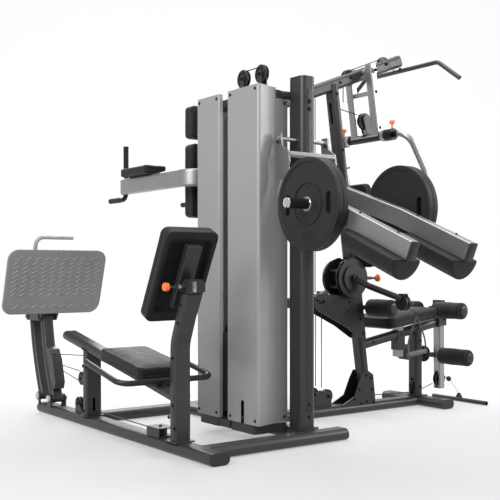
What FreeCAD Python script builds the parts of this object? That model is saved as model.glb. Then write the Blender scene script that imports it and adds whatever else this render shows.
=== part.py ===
"""Multi station home gym: leg press, vertical knee raise, plate loaded squat lever,
lat / press tower with leg extension, and mid cable arms on one welded tube frame.

Modelled about the front tower post: +X towards the lat station, +Y away from the
squat lever, +Z up. The finished set is shifted so that the origin is under the middle
of the whole machine, on the floor. Millimetres."""
import FreeCAD, Part
import math
import os

V = FreeCAD.Vector
os.makedirs("parts", exist_ok=True)

# ---- driving dimensions -------------------------------------------------------
WALL = 3.0                     # wall of the frame tubes
RAIL_W, RAIL_H, RAIL_R = 115.0, 60.0, 29.0
RAIL_X = -714.0                # leg press rail
FRONT_Y = -100.0               # front cross rail
BACK_Y = 1130.0                # back cross rail
ROW_Y = 503.0                  # lat station centre line
FOOT_X = 1420.0                # T foot
CAP = 8.0                      # plastic end cap length
POST_X, POST_Y, POST_R = 94.0, 124.0, 28.0
POST_XC, POST_YC = 8.0, 15.0
POST_TOP = 1918.0
PLATE_T = 6.0                  # base plates
SHROUD_X0 = -283.0
SHROUD_T = 2.0
SHROUD_Z0, SHROUD_Z1 = 95.0, 1855.0
NEAR_Y0, NEAR_Y1 = 8.0, 290.0
FAR_Y0, FAR_Y1 = 367.0, 588.0
STACK_X0, STACK_X1 = -262.0, -62.0
STACK_Z0, STACK_T, STACK_GAP = 127.0, 25.0, 1.0
FIXED_N, LIFT_N = 9, 6
ROD_R, ROD_X = 12.0, -150.0
PULLEY_R, PULLEY_T = 50.0, 22.0
AXLE_R = 6.0
CABLE_R = 3.0
SHAFT_R = 12.0
RUN_FIT = 0.05                 # radial running clearance
DISC_R, DISC_T = 225.0, 32.0   # 450 mm weight discs
SLEEVE_R = 25.0
SQ_Z, SQ_Y = 1580.0, 0.0       # squat lever pivot
SQ_X = 164.0                   # inner face of each lever beam
PRESS_X, PRESS_Z = 895.0, 2141.0
CABLE_ARM = (765.0, 845.0)     # x, z of the cable arm pivot
ROLLER_R = 55.0

shapes = {}
env = {}


# ---- helpers ------------------------------------------------------------------
def unit(v):
    v = V(v)
    v.normalize()
    return v


def section(w, h, r, o, u, v):
    """Closed wire: a w x h rectangle along u and v about o with corner radius r."""
    a, b = w / 2.0, h / 2.0
    r = min(r, a - 0.02, b - 0.02)

    def P(s, t):
        return o + u * s + v * t
    k = r * (1 - math.sqrt(0.5))
    e = [Part.LineSegment(P(-a + r, -b), P(a - r, -b)).toShape()]
    e.append(Part.Arc(P(a - r, -b), P(a - k, -b + k), P(a, -b + r)).toShape())
    e.append(Part.LineSegment(P(a, -b + r), P(a, b - r)).toShape())
    e.append(Part.Arc(P(a, b - r), P(a - k, b - k), P(a - r, b)).toShape())
    e.append(Part.LineSegment(P(a - r, b), P(-a + r, b)).toShape())
    e.append(Part.Arc(P(-a + r, b), P(-a + k, b - k), P(-a, b - r)).toShape())
    e.append(Part.LineSegment(P(-a, b - r), P(-a, -b + r)).toShape())
    e.append(Part.Arc(P(-a, -b + r), P(-a + k, -b + k), P(-a + r, -b)).toShape())
    return Part.Wire(e)


def frame_of(d, u):
    d = unit(d)
    u = V(u)
    u = unit(u - d * u.dot(d))
    return u, d.cross(u)


def bar(p0, p1, w, h, r, u):
    """Solid straight bar of rounded section, w along u."""
    p0, p1 = V(*p0), V(*p1)
    a, b = frame_of(p1 - p0, V(*u))
    return Part.Face(section(w, h, r, p0, a, b)).extrude(p1 - p0)


def tube(p0, p1, w, h, r, u, wall=WALL):
    """(hollow tube, filled envelope)"""
    outer = bar(p0, p1, w, h, r, u)
    inner = bar(p0, p1, w - 2 * wall, h - 2 * wall, max(r - wall, 1.0), u)
    return outer.cut(inner), outer


def bent_wire(pts, radii):
    """Straight runs joined by tangent arcs."""
    pts = [V(*p) for p in pts]
    edges = []
    start = pts[0]
    for i in range(1, len(pts) - 1):
        a, p, b = pts[i - 1], pts[i], pts[i + 1]
        d0, d1 = unit(p - a), unit(b - p)
        ang = d0.getAngle(d1)
        t = radii[i - 1] * math.tan(ang / 2)
        s, e = p - d0 * t, p + d1 * t
        bis = unit(d1 - d0)
        c = p + bis * (radii[i - 1] / math.cos(ang / 2))
        m = c + unit(p - c) * radii[i - 1]
        if (s - start).Length > 1e-3:
            edges.append(Part.LineSegment(start, s).toShape())
        edges.append(Part.Arc(s, m, e).toShape())
        start = e
    edges.append(Part.LineSegment(start, pts[-1]).toShape())
    return Part.Wire(edges)


def sweep(wire, prof, binormal=None):
    mk = Part.BRepOffsetAPI.MakePipeShell(wire)
    if binormal is not None:
        mk.setBiNormalMode(binormal)
    else:
        mk.setFrenetMode(True)
    mk.add(prof)
    mk.build()
    mk.makeSolid()
    s = mk.shape()
    if s.Volume < 0:
        s.reverse()
    return s


def bent_bar(pts, radii, w, h, r, u):
    """Solid bent bar in one plane whose normal is u; w along u."""
    p0, p1 = V(*pts[0]), V(*pts[1])
    a, b = frame_of(p1 - p0, V(*u))
    return sweep(bent_wire(pts, radii), section(w, h, r, p0, a, b), V(*u))


def bent_tube(pts, radii, w, h, r, u, wall=WALL):
    outer = bent_bar(pts, radii, w, h, r, u)
    inner = bent_bar(pts, radii, w - 2 * wall, h - 2 * wall, max(r - wall, 1.0), u)
    return outer.cut(inner), outer


def ring_wire(p, d, r):
    return Part.Wire([Part.makeCircle(r, V(*p), V(d))])


def round_bar(pts, radii, r):
    pts_v = [V(*p) for p in pts]
    d = pts_v[1] - pts_v[0]
    if len(pts) == 2:
        return Part.makeCylinder(r, d.Length, pts_v[0], d)
    return sweep(bent_wire(pts, radii), ring_wire(pts[0], d, r))


def cyl(p0, p1, r):
    d = V(*p1) - V(*p0)
    return Part.makeCylinder(r, d.Length, V(*p0), d)


def box(x0, y0, z0, x1, y1, z1):
    return Part.makeBox(x1 - x0, y1 - y0, z1 - z0, V(x0, y0, z0))


def rbox(x0, y0, z0, x1, y1, z1, r, axis="z"):
    """Box with its edges along one axis rounded."""
    b = box(x0, y0, z0, x1, y1, z1)
    k = "xyz".index(axis)
    keep = []
    for e in b.Edges:
        d = e.Vertexes[1].Point - e.Vertexes[0].Point
        if abs(abs(d[k]) - d.Length) < 1e-6:
            keep.append(e)
    return b.makeFillet(r, keep)


def allround(b, r):
    return b.makeFillet(r, b.Edges)


def poly(pts, axis, a, b):
    """Prism: polygon in the plane across axis, from a to b along it."""
    k = "xyz".index(axis)

    def P(s, t):
        q = [s, t]
        q.insert(k, a)
        return V(*q)
    w = [P(s, t) for s, t in pts]
    d = V(0, 0, 0)
    d[k] = b - a
    return Part.Face(Part.makePolygon(w + [w[0]])).extrude(d)


def fuse(*s):
    """One solid from touching or crossing ones. A join that comes out short of
    material is made again with each later piece cut back to the earlier ones."""
    try:
        out = s[0].multiFuse(list(s[1:]))
        try:
            out = out.removeSplitter()
        except Part.OCCError:
            pass
        if out.isValid() and out.Volume > 0.999 * max(q.Volume for q in s):
            return out
    except Part.OCCError:
        pass
    got = [s[0]]
    for q in s[1:]:
        for g_ in got:
            q = q.cut(g_)
        got.append(q)
    return Part.makeCompound([x for q in got for x in q.Solids if x.Volume > 20])


def cut(a, *bs):
    out = a
    for b in bs:
        out = out.cut(b)
    return out


def group(*s):
    return Part.makeCompound([x for q in s for x in q.Solids])


def pulley(c, axis, r=PULLEY_R, t=PULLEY_T, bore=AXLE_R + RUN_FIT):
    """Grooved wheel turned about the axis through c."""
    h, g = t / 2.0, 5.0
    p = [(bore, -h), (r * 0.42, -h), (r * 0.42, -h + 4), (r * 0.78, -h + 4), (r * 0.78, -h),
         (r, -h), (r, -g), (r - 13, -CABLE_R - 0.8), (r - 13, CABLE_R + 0.8), (r, g), (r, h),
         (r * 0.78, h), (r * 0.78, h - 4), (r * 0.42, h - 4), (r * 0.42, h), (bore, h)]
    w = Part.makePolygon([V(a, 0, b) for a, b in p + [p[0]]])
    s = Part.Face(w).revolve(V(0, 0, 0), V(0, 0, 1), 360)
    rot = {"x": FreeCAD.Rotation(V(0, 1, 0), 90), "y": FreeCAD.Rotation(V(1, 0, 0), -90),
           "z": FreeCAD.Rotation()}[axis]
    s.Placement = FreeCAD.Placement(V(*c), rot)
    return s


def axle(c, axis, half, head=10.0):
    """Bolt through a pulley: shank and two heads."""
    d = {"x": V(1, 0, 0), "y": V(0, 1, 0), "z": V(0, 0, 1)}[axis]
    c = V(*c)
    s = Part.makeCylinder(AXLE_R, 2 * half, c - d * half, d)
    return fuse(s, Part.makeCylinder(head, 5, c - d * (half + 5), d),
                Part.makeCylinder(head, 5, c + d * half, d))


def plane_cable(items, plane, at, r=CABLE_R):
    """Taut cable in one plane. items: ("p", a, b) ends or ("c", a, b, radius, turn)."""
    k = "xyz".index(plane)

    def P(a, b):
        q = [a, b]
        q.insert(k, at)
        return V(*q)
    seg = []
    for i in range(len(items) - 1):
        A, B = items[i], items[i + 1]
        r1 = A[3] * A[4] if A[0] == "c" else 0.0
        r2 = B[3] * B[4] if B[0] == "c" else 0.0
        dx, dy = B[1] - A[1], B[2] - A[2]
        kk = r2 - r1
        L = math.sqrt(max(dx * dx + dy * dy - kk * kk, 1e-9))
        ang = math.atan2(dy, dx) - math.atan2(kk, L)
        ux, uy = math.cos(ang), math.sin(ang)
        nx, ny = -uy, ux
        seg.append(((A[1] - r1 * nx, A[2] - r1 * ny), (B[1] - r2 * nx, B[2] - r2 * ny)))
    edges = []
    for i, (s, e) in enumerate(seg):
        edges.append(Part.LineSegment(P(*s), P(*e)).toShape())
        if i + 1 < len(seg):
            c = items[i + 1]
            n = seg[i + 1][0]
            a0 = math.atan2(e[1] - c[2], e[0] - c[1])
            a1 = math.atan2(n[1] - c[2], n[0] - c[1])
            if c[4] > 0:
                while a1 <= a0:
                    a1 += 2 * math.pi
            else:
                while a1 >= a0:
                    a1 -= 2 * math.pi
            am = (a0 + a1) / 2
            m = (c[1] + c[3] * math.cos(am), c[2] + c[3] * math.sin(am))
            edges.append(Part.Arc(P(*e), P(*m), P(*n)).toShape())
    w = Part.Wire(edges)
    p0 = P(*seg[0][0])
    d = P(*seg[0][1]) - p0
    return sweep(w, Part.Wire([Part.makeCircle(r, p0, d)]))


def put(name, shape, filled=None):
    shapes[name] = shape
    env[name] = filled if filled is not None else shape


GROOVE = PULLEY_R - 13 + CABLE_R + 0.4     # cable centre line radius on a pulley

# ---- base rails ---------------------------------------------------------------
RZ = RAIL_H / 2


def rail(p0, p1, cutters=()):
    u = (0, 0, 1)
    d = (p1[0] - p0[0], p1[1] - p0[1])
    side = (0, 1, 0) if abs(d[0]) > abs(d[1]) else (1, 0, 0)
    h, s = tube((p0[0], p0[1], RZ), (p1[0], p1[1], RZ), RAIL_W, RAIL_H, RAIL_R, side)
    for c in cutters:
        h, s = h.cut(c), s.cut(c)
    return h, s


h, s = rail((RAIL_X, -262), (RAIL_X, 1684))
put("leg_press_rail", h, s)
h, s = rail((RAIL_X, FRONT_Y), (182, FRONT_Y), [env["leg_press_rail"]])
s = max(s.Solids, key=lambda q: q.Volume)
h = max(h.Solids, key=lambda q: q.Volume)
put("front_cross_rail", h, s)
h, s = rail((RAIL_X, BACK_Y), (92, BACK_Y), [env["leg_press_rail"]])
put("back_cross_rail", max(h.Solids, key=lambda q: q.Volume), max(s.Solids, key=lambda q: q.Volume))
h, s = rail((0, FRONT_Y), (0, BACK_Y), [env["front_cross_rail"], env["back_cross_rail"]])
put("tower_rail", max(h.Solids, key=lambda q: q.Volume), max(s.Solids, key=lambda q: q.Volume))
h, s = rail((FOOT_X, 248), (FOOT_X, 772))
put("t_foot_rail", h, s)
h, s = rail((0, ROW_Y), (FOOT_X, ROW_Y), [env["tower_rail"], env["t_foot_rail"]])
put("right_rail", max(h.Solids, key=lambda q: q.Volume), max(s.Solids, key=lambda q: q.Volume))


def end_cap(p, d, w, hh, r, u, length=CAP):
    q = (p[0] + d[0] * length, p[1] + d[1] * length, p[2] + d[2] * length)
    return bar(p, q, w, hh, r, u)


put("rail_end_caps", group(
    end_cap((RAIL_X, -262, RZ), (0, -1, 0), RAIL_W, RAIL_H, RAIL_R, (1, 0, 0)),
    end_cap((RAIL_X, 1684, RZ), (0, 1, 0), RAIL_W, RAIL_H, RAIL_R, (1, 0, 0)),
    end_cap((182, FRONT_Y, RZ), (1, 0, 0), RAIL_W, RAIL_H, RAIL_R, (0, 1, 0)),
    end_cap((92, BACK_Y, RZ), (1, 0, 0), RAIL_W, RAIL_H, RAIL_R, (0, 1, 0)),
    end_cap((FOOT_X, 248, RZ), (0, -1, 0), RAIL_W, RAIL_H, RAIL_R, (1, 0, 0)),
    end_cap((FOOT_X, 772, RZ), (0, 1, 0), RAIL_W, RAIL_H, RAIL_R, (1, 0, 0))))

# ---- tower --------------------------------------------------------------------
PZ = RAIL_H + PLATE_T


def post(xc, yc, top):
    h, s = tube((xc, yc, PZ), (xc, yc, top - 4), POST_X, POST_Y, POST_R, (1, 0, 0))
    foot = rbox(xc - 56, yc - 80, RAIL_H, xc + 56, yc + 80, PZ, 15)
    lid = bar((xc, yc, top - 4), (xc, yc, top), POST_X, POST_Y, POST_R, (1, 0, 0))
    return fuse(h, foot, lid), fuse(s, foot, lid)


h, s = post(POST_XC, POST_YC, POST_TOP)
shaft_hole = cyl((-100, SQ_Y, SQ_Z), (100, SQ_Y, SQ_Z), SHAFT_R)
put("front_post", h.cut(shaft_hole), s)
h, s = post(POST_XC, ROW_Y, POST_TOP)
put("rear_post", h, s)

BEAM_X0, BEAM_X1, BEAM_Z0, BEAM_Z1 = -185.0, -105.0, 1800.0, 1846.0
beam = box(BEAM_X0, 56, BEAM_Z0, BEAM_X1, 574, BEAM_Z1)
beam = beam.cut(box(BEAM_X0 + 4, 60, BEAM_Z0 + 4, BEAM_X1 - 4, 570, BEAM_Z1 - 4))
arms = [bar((BEAM_X1, y, 1823), (0, y, 1823), 44, 44, 20, (0, 1, 0)).cut(env[n])
        for y, n in ((63, "front_post"), (ROW_Y, "rear_post"))]
arms = [max(a.Solids, key=lambda q: q.Volume) for a in arms]
TOPP = [(-130.0, 182.0, 1950.0), (-130.0, 346.0, 1950.0)]
cheeks = []
for c in TOPP:
    for sgn in (-1, 1):
        x0 = c[0] + sgn * (PULLEY_T / 2 + 1) + (0 if sgn > 0 else -4)
        ch = fuse(box(x0, c[1] - 18, BEAM_Z1, x0 + 4, c[1] + 18, c[2]),
                  cyl((x0, c[1], c[2]), (x0 + 4, c[1], c[2]), 18))
        cheeks.append(ch)
    cheeks.append(axle(c, "x", PULLEY_T / 2 + 5))
put("tower_top_beam", fuse(beam, *arms, *cheeks))
put("top_pulley_near", pulley(TOPP[0], "x"))
put("top_pulley_far", pulley(TOPP[1], "x"))


def bent_sheet(pts, radii, t, z0, z1):
    """Vertical sheet: plan path swept as a thin strip."""
    p0, p1 = V(pts[0][0], pts[0][1], z0), V(pts[1][0], pts[1][1], z0)
    d = unit(p1 - p0)
    n = V(-d.y, d.x, 0)
    w = bent_wire([(a, b, z0) for a, b in pts], radii)
    strip = Part.makePolygon([p0 - n * t / 2, p0 + n * t / 2, p0 + n * t / 2 + V(0, 0, z1 - z0),
                              p0 - n * t / 2 + V(0, 0, z1 - z0), p0 - n * t / 2])
    return sweep(w, strip, V(0, 0, 1))


xs = SHROUD_X0 + 1
near = bent_sheet([(xs + 24, NEAR_Y1 - 1), (xs, NEAR_Y1 - 1), (xs, NEAR_Y0 + 1), (-170, 44), (-42, 74)],
                  [8, 14, 120], SHROUD_T, SHROUD_Z0, SHROUD_Z1)
near = near.cut(box(-140, 0, 1798, -30, 100, 1860))
near = near.cut(rbox(SHROUD_X0 - 5, 150 - 14, 60, SHROUD_X0 + 5, 150 + 14, 216, 13.9, "x"))
put("near_shroud", near)
far = bent_sheet([(xs + 24, FAR_Y0 + 1), (xs, FAR_Y0 + 1), (xs, FAR_Y1 - 1), (-60, FAR_Y1 - 1)],
                 [8, 12], SHROUD_T, SHROUD_Z0, SHROUD_Z1)
put("far_shroud", far)


def base_box(y0, y1):
    s = rbox(-272, y0, 44, -50, y1, 92, 22)
    i = rbox(-266, y0 + 6, 50, -66, y1 - 6, 86, 16)
    return max(s.cut(env["tower_rail"]).Solids, key=lambda q: q.Volume), i.cut(
        box(-12, y0, 0, -10, y1, 1))


RODS = [(ROD_X, 178 - 62), (ROD_X, 178 + 62), (ROD_X, 478 - 62), (ROD_X, 478 + 62)]
bases = []
for y0, y1 in ((60, 282), (378, 578)):
    s, i = base_box(y0, y1)
    bases.append(s.cut(i))
bumpers = [Part.makeCylinder(24, 33, V(x, y, 92), V(0, 0, 1)).cut(
    Part.makeCylinder(ROD_R, 40, V(x, y, 90), V(0, 0, 1))) for x, y in RODS]
bridge = box(-272, 279, 48, -216, 381, 90).cut(box(-269, 270, 51, -219, 390, 87))
put("stack_bases", group(fuse(bases[0], bases[1], bridge), *bumpers))
put("guide_rods", group(*[Part.makeCylinder(ROD_R, BEAM_Z0 - 92, V(x, y, 92), V(0, 0, 1)) for x, y in RODS]))

STACKS = {"near": (84.0, 272.0, 178.0, 62.0), "far": (384.0, 572.0, 478.0, 62.0)}
STEP = STACK_T + STACK_GAP
fixed = []
for key, (y0, y1, yc, dy) in STACKS.items():
    holes = [Part.makeCylinder(ROD_R + 1.0, 3000, V(ROD_X, yc + q, 0), V(0, 0, 1)) for q in (-dy, dy)]
    core = Part.makeCylinder(11.0, 3000, V(ROD_X, yc, 0), V(0, 0, 1))
    for i in range(FIXED_N):
        z = STACK_Z0 + i * STEP
        p = rbox(STACK_X0, y0, z, STACK_X1, y1, z + STACK_T, 6)
        p = p.cut(box(STACK_X0 - 1, yc - 14, z + 8, STACK_X0 + 16, yc + 14, z + 17))
        fixed.append(cut(p, *holes, core))
    lift = []
    z_first = STACK_Z0 + FIXED_N * STEP
    for i in range(LIFT_N):
        z = z_first + i * STEP
        p = rbox(STACK_X0, y0, z, STACK_X1, y1, z + STACK_T, 6)
        p = p.cut(box(STACK_X0 - 1, yc - 14, z + 8, STACK_X0 + 16, yc + 14, z + 17))
        lift.append(cut(p, *holes))
    z_top = z_first + LIFT_N * STEP
    head = rbox(STACK_X0, y0, z_top, STACK_X1, y1, z_top + 32, 6).cut(holes[0]).cut(holes[1])
    spine = Part.makeCylinder(9.0, z_top + 70 - z_first + 90, V(ROD_X, yc, z_first - 90), V(0, 0, 1))
    pin = fuse(cyl((ROD_X, yc, z_first + 12.5), (STACK_X0 - 6, yc, z_first + 12.5), 3.6),
               cyl((STACK_X0 - 16, yc, z_first + 12.5), (STACK_X0 - 6, yc, z_first + 12.5), 9))
    lift_solid = fuse(*lift, head, spine, pin,
                      *[box(ROD_X - 30, yc - 30, z_first + i * STEP + STACK_T, ROD_X + 30, yc + 30,
                            z_first + (i + 1) * STEP) for i in range(LIFT_N)])
    put(key + "_lift_plates", lift_solid)
put("fixed_weight_plates", group(*fixed))

# ---- vertical knee raise ------------------------------------------------------
VY = 700.0
vp, vs = tube((0, VY, PZ), (0, VY, 1866), POST_X, 100, POST_R, (1, 0, 0))
vfoot = rbox(-50, VY - 65, RAIL_H, 50, VY + 65, PZ, 15)
vlid = bar((0, VY, 1866), (0, VY, 1870), POST_X, 100, POST_R, (1, 0, 0))
brk = [box(-60, VY + 50, z - 22, 80, VY + 112, z + 22) for z in (1778, 1530, 1330)]
brk = [b.cut(vs) for b in brk]
put("vkr_post", fuse(vp, vfoot, vlid, *brk), fuse(vs, vfoot, vlid, *brk))
BP_Y0 = VY + 112


def padbox(x0, y0, z0, x1, y1, z1, r):
    return allround(box(x0, y0, z0, x1, y1, z1), r)


AZ_ARM = 1434.0


def vkr_arm(sx):
    """Arm from the post side, out and forward, with grip and dip handle."""
    x_end = sx
    sg = 1 if sx > 0 else -1
    arm, s = bent_tube([(sg * 20, VY, AZ_ARM), (x_end, VY, AZ_ARM), (x_end, 1485, AZ_ARM)], [95],
                       104, 46, 14, (0, 0, 1))
    arm = max(arm.cut(env["vkr_post"]).Solids, key=lambda q: q.Volume)
    cap = bar((x_end, 1485, AZ_ARM), (x_end, 1490, AZ_ARM), 104, 46, 14, (0, 0, 1))
    grip = round_bar([(x_end, 1458, AZ_ARM + 52), (x_end, 1458, 1690)], [], 15)
    dip = round_bar([(x_end, 1455, AZ_ARM - 52), (x_end, 1455, 1352), (x_end, 1670, 1352)], [50], 15)
    return group(arm, cap, grip, dip)


put("vkr_arm_near", vkr_arm(-262))
put("vkr_arm_far", vkr_arm(300))
put("vkr_pads", group(
    padbox(-172, BP_Y0, 1682, 180, BP_Y0 + 92, 1875, 22),
    padbox(-172, BP_Y0, 1210, 180, BP_Y0 + 92, 1650, 22),
    padbox(-262 - 77, 1076, AZ_ARM + 52, -262 + 77, 1400, AZ_ARM + 104, 20),
    padbox(300 - 77, 1076, AZ_ARM + 52, 300 + 77, 1400, AZ_ARM + 104, 20)))

# ---- leg press ----------------------------------------------------------------
XC = RAIL_X
bp, bs = bent_tube([(XC, 73, PZ), (XC, 73, 540), (XC, -30, 790)], [160], 96, 58, 20, (1, 0, 0))
bfoot = rbox(XC - 58, 20, RAIL_H, XC + 58, 130, PZ, 10)
HOUS = (XC - 33, -74, 783, XC + 33, -6, 853)
hous = box(*HOUS)
slide_hole = box(XC - 25.4, -100, 792.6, XC + 25.4, 100, 843.4)
bp = bp.cut(box(XC - 80, -160, 783, XC + 80, 160, 900))
bs2 = bs.cut(box(XC - 80, -160, 783, XC + 80, 160, 900))
pin_hole = cyl((XC - 60, -30, 818), (XC - 20, -30, 818), 5.5)
ferrule = fuse(cyl((XC - 33, -30, 818), (XC - 61, -30, 818), 11))
body = fuse(bp, bfoot, hous.cut(slide_hole), ferrule).cut(pin_hole).cut(
    cyl((XC - 70, -30, 818), (XC - 20, -30, 818), 5.5))
put("leg_press_back_post", body, fuse(bs2, bfoot, hous))

# seat rail and front seat post
SR0, SR1 = (XC, 60, 275), (XC, 1310, 504)
sr, srs = tube(SR0, SR1, 100, 54, 26, (1, 0, 0))
sr = max(sr.cut(env["leg_press_back_post"]).Solids, key=lambda q: q.Volume)
srs = max(srs.cut(env["leg_press_back_post"]).Solids, key=lambda q: q.Volume)
sp, sps = tube((XC, 1030, PZ), (XC, 1030, 470), 100, 50, 14, (1, 0, 0))
sp = max(sp.cut(srs).Solids, key=lambda q: q.Volume)
sp = sp.cut(rbox(XC - 9, 990, 85, XC + 9, 1070, 165, 8.5, "y"))
spfoot = rbox(XC - 58, 985, RAIL_H, XC + 58, 1075, PZ, 10)
srcap = end_cap(SR1, tuple(unit(V(*SR1) - V(*SR0))), 100, 54, 26, (1, 0, 0), 10)


def line_z(y, dz):
    """Height of the seat rail's axis at y, plus dz."""
    return SR0[2] + (SR1[2] - SR0[2]) * (y - SR0[1]) / (SR1[1] - SR0[1]) + dz


board = poly([(240, line_z(240, 10)), (650, line_z(650, 10)), (650, 414 - 70 + 0.16 * 430),
              (240, 414 - 70 + 0.16 * 20)], "x", XC - 90, XC + 90).cut(srs)
board = max(board.Solids, key=lambda q: q.CenterOfMass.z * 1e6 + q.Volume)
put("lp_seat_frame", fuse(sr, sp, spfoot, srcap, board), fuse(srs, sps, spfoot, srcap, board))
pad = allround(box(-143, 0, 0, 143, 452, 70), 24)
pad.Placement = FreeCAD.Placement(V(XC, 222, 344.4), FreeCAD.Rotation(V(1, 0, 0), math.degrees(math.atan(0.16))))
put("lp_seat_pad", pad)
HB_Z = 347.0
bracket = box(XC - 30, 165, 300, XC + 30, 209, HB_Z + 8).cut(srs)
bracket = max(bracket.Solids, key=lambda q: q.CenterOfMass.z)
handle = round_bar([(XC - 268, 560, 424), (XC - 268, 187, HB_Z), (XC + 268, 187, HB_Z), (XC + 268, 560, 424)],
                   [60, 60], 15)
put("lp_side_handles", fuse(handle, bracket))

# sliding back rest
TILT = math.degrees(math.atan2(192, 382))
bpad = allround(box(-150, -75, -245, 150, 0, 245), 26)
bpad.Placement = FreeCAD.Placement(V(XC, 116, 893), FreeCAD.Rotation(V(1, 0, 0), TILT))
put("lp_back_pad", bpad)
spine = allround(box(-42, -75 - 38, -150, 42, -75, 185), 6)
spine.Placement = bpad.Placement
spine = spine.cut(bpad)
slide = box(XC - 25, -112, 793, XC + 25, 70, 843)
slide = max(slide.cut(spine).cut(bpad).Solids, key=lambda q: -q.CenterOfMass.y)
slide = slide.cut(box(XC - 21, -108, 797, XC + 21, -20, 839)).cut(
    cyl((XC - 40, -30, 818), (XC - 10, -30, 818), 5.5))
put("lp_back_slide", fuse(spine, slide))
put("lp_back_knob", fuse(cyl((XC - 25.9, -30, 818), (XC - 135, -30, 818), 5.0),
                         cyl((XC - 62, -30, 818), (XC - 130, -30, 818), 8.0),
                         allround(cyl((XC - 130, -30, 818), (XC - 156, -30, 818), 20.0), 6)))

# four bar foot plate linkage
F0, R0 = (1520.0, 102.0), (1690.0, 102.0)
LINK = (155.0, 500.0)


def lp_arm(p0):
    """Curved arm from pivot p0 up, with hub tubes at both ends."""
    q = (p0[0] + LINK[0], p0[1] + LINK[1])
    d = unit(V(0, LINK[0], LINK[1]))
    n = V(0, d.z, -d.y)
    a = V(XC, p0[0], p0[1])
    b = V(XC, q[0], q[1])
    m = (a + b) * 0.5 + n * 20
    w = Part.Wire([Part.Arc(a, m, b).toShape()])
    c = w.Edges[0].Curve
    t0 = w.Edges[0].tangentAt(w.Edges[0].FirstParameter)
    u, v = frame_of(t0, V(1, 0, 0))
    out = sweep(w, section(78, 48, 20, a, u, v), V(1, 0, 0))
    inn = sweep(w, section(72, 42, 17, a, u, v), V(1, 0, 0))
    hubs = [cyl((XC - 39, p[0], p[1]), (XC + 39, p[0], p[1]), 25) for p in (p0, q)]
    bores = [cyl((XC - 60, p[0], p[1]), (XC + 60, p[0], p[1]), SHAFT_R + RUN_FIT) for p in (p0, q)]
    solid = out.cut(inn)
    solid = fuse(solid.cut(hubs[0]).cut(hubs[1]), *hubs)
    solid = max(solid.Solids, key=lambda z: z.Volume)
    return cut(solid, *bores), fuse(out, *hubs)


fa, fs = lp_arm(F0)
hs = poly([(1548, 150), (1560, 175), (1608, 420), (1552, 405), (1508, 340), (1468, 205), (1482, 165)],
          "x", XC - 32, XC + 32)
hs = max(hs.cut(fs).Solids, key=lambda q: -q.CenterOfMass.y)
put("lp_front_arm", fuse(fa, hs))
ra, rs = lp_arm(R0)
put("lp_rear_arm", ra)
brs = []
for y in (F0[0], R0[0]):
    for x0, x1 in ((XC - 52, XC - 42), (XC + 42, XC + 52)):
        yy0, yy1 = y - 26, min(y + 26, 1684)
        b = fuse(box(x0, yy0, 20, x1, yy1, 102), cyl((x0, y, 102), (x1, y, 102), 26))
        b = max(b.cut(env["leg_press_rail"]).Solids, key=lambda q: q.CenterOfMass.z)
        b = b.cut(cyl((x0 - 1, y, 102), (x1 + 1, y, 102), SHAFT_R))
        brs.append(b)
    brs.append(fuse(cyl((XC - 52, y, 102), (XC + 52, y, 102), SHAFT_R),
                    cyl((XC - 60, y, 102), (XC - 52, y, 102), 20),
                    cyl((XC + 52, y, 102), (XC + 60, y, 102), 20)))
put("lp_pivot_brackets", group(*brs))

FP_T = 14.0
FP_ANG = math.degrees(math.atan2(129, 399))
plate = rbox(-325, 0, -210, 325, FP_T, 210, 68, "y")
plate.Placement = FreeCAD.Placement(V(-712, 1539.5, 819.0), FreeCAD.Rotation(V(1, 0, 0), FP_ANG))
put("footplate", plate)
PF = plate.Placement
F1 = (F0[0] + LINK[0], F0[1] + LINK[1])
R1 = (R0[0] + LINK[0], R0[1] + LINK[1])
fork = []
for x0 in (XC - 58, XC + 48):
    a = PF.multVec(V(0, FP_T, -205))
    b = PF.multVec(V(0, FP_T, 60))
    pl = poly([(a.y, a.z), (F1[0] - 24, F1[1] - 24), (R1[0] + 8, R1[1] - 28), (R1[0] + 30, R1[1] + 6),
               (R1[0] + 4, R1[1] + 34), (b.y + 40, b.z), (b.y, b.z)], "x", x0, x0 + 10)
    for p in (F1, R1):
        pl = pl.cut(cyl((x0 - 1, p[0], p[1]), (x0 + 11, p[0], p[1]), SHAFT_R))
    fork.append(pl)
rib = box(-62, FP_T, -60, 62, FP_T + 16, 60)
rib.Placement = PF
pins = [cyl((XC - 58, p[0], p[1]), (XC + 58, p[0], p[1]), SHAFT_R) for p in (F1, R1)]
caps = [cyl((x, p[0], p[1]), (x + 6, p[0], p[1]), 19) for p in (F1, R1) for x in (XC - 64, XC + 58)]
q0 = PF.multVec(V(-863 + 712, FP_T + 12.5, 130))
q1 = PF.multVec(V(-863 + 712, FP_T + 12.5, 283))
q2 = V(-625, q1.y, q1.z)
hand = round_bar([tuple(q0), tuple(q1), tuple(q2)], [45], 12.5)
lug = box(-863 + 712 - 16, FP_T, 130, -863 + 712 + 16, FP_T + 12, 205)
lug.Placement = PF
frame = fuse(*fork, rib, *pins, *caps)
put("footplate_frame", group(frame, fuse(hand, lug)))

# ---- lat / press tower --------------------------------------------------------
COL0, COL1 = (938.0, ROW_Y, 60.0), (651.0, ROW_Y, 2040.0)
BOOM0, BOOM1 = (0.0, ROW_Y, 1784.0), (1226.0, ROW_Y, 2262.0)
SLOPE = (BOOM1[2] - BOOM0[2]) / (BOOM1[0] - BOOM0[0])


def boom_z(x):
    return BOOM0[2] + SLOPE * (x - BOOM0[0])


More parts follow.
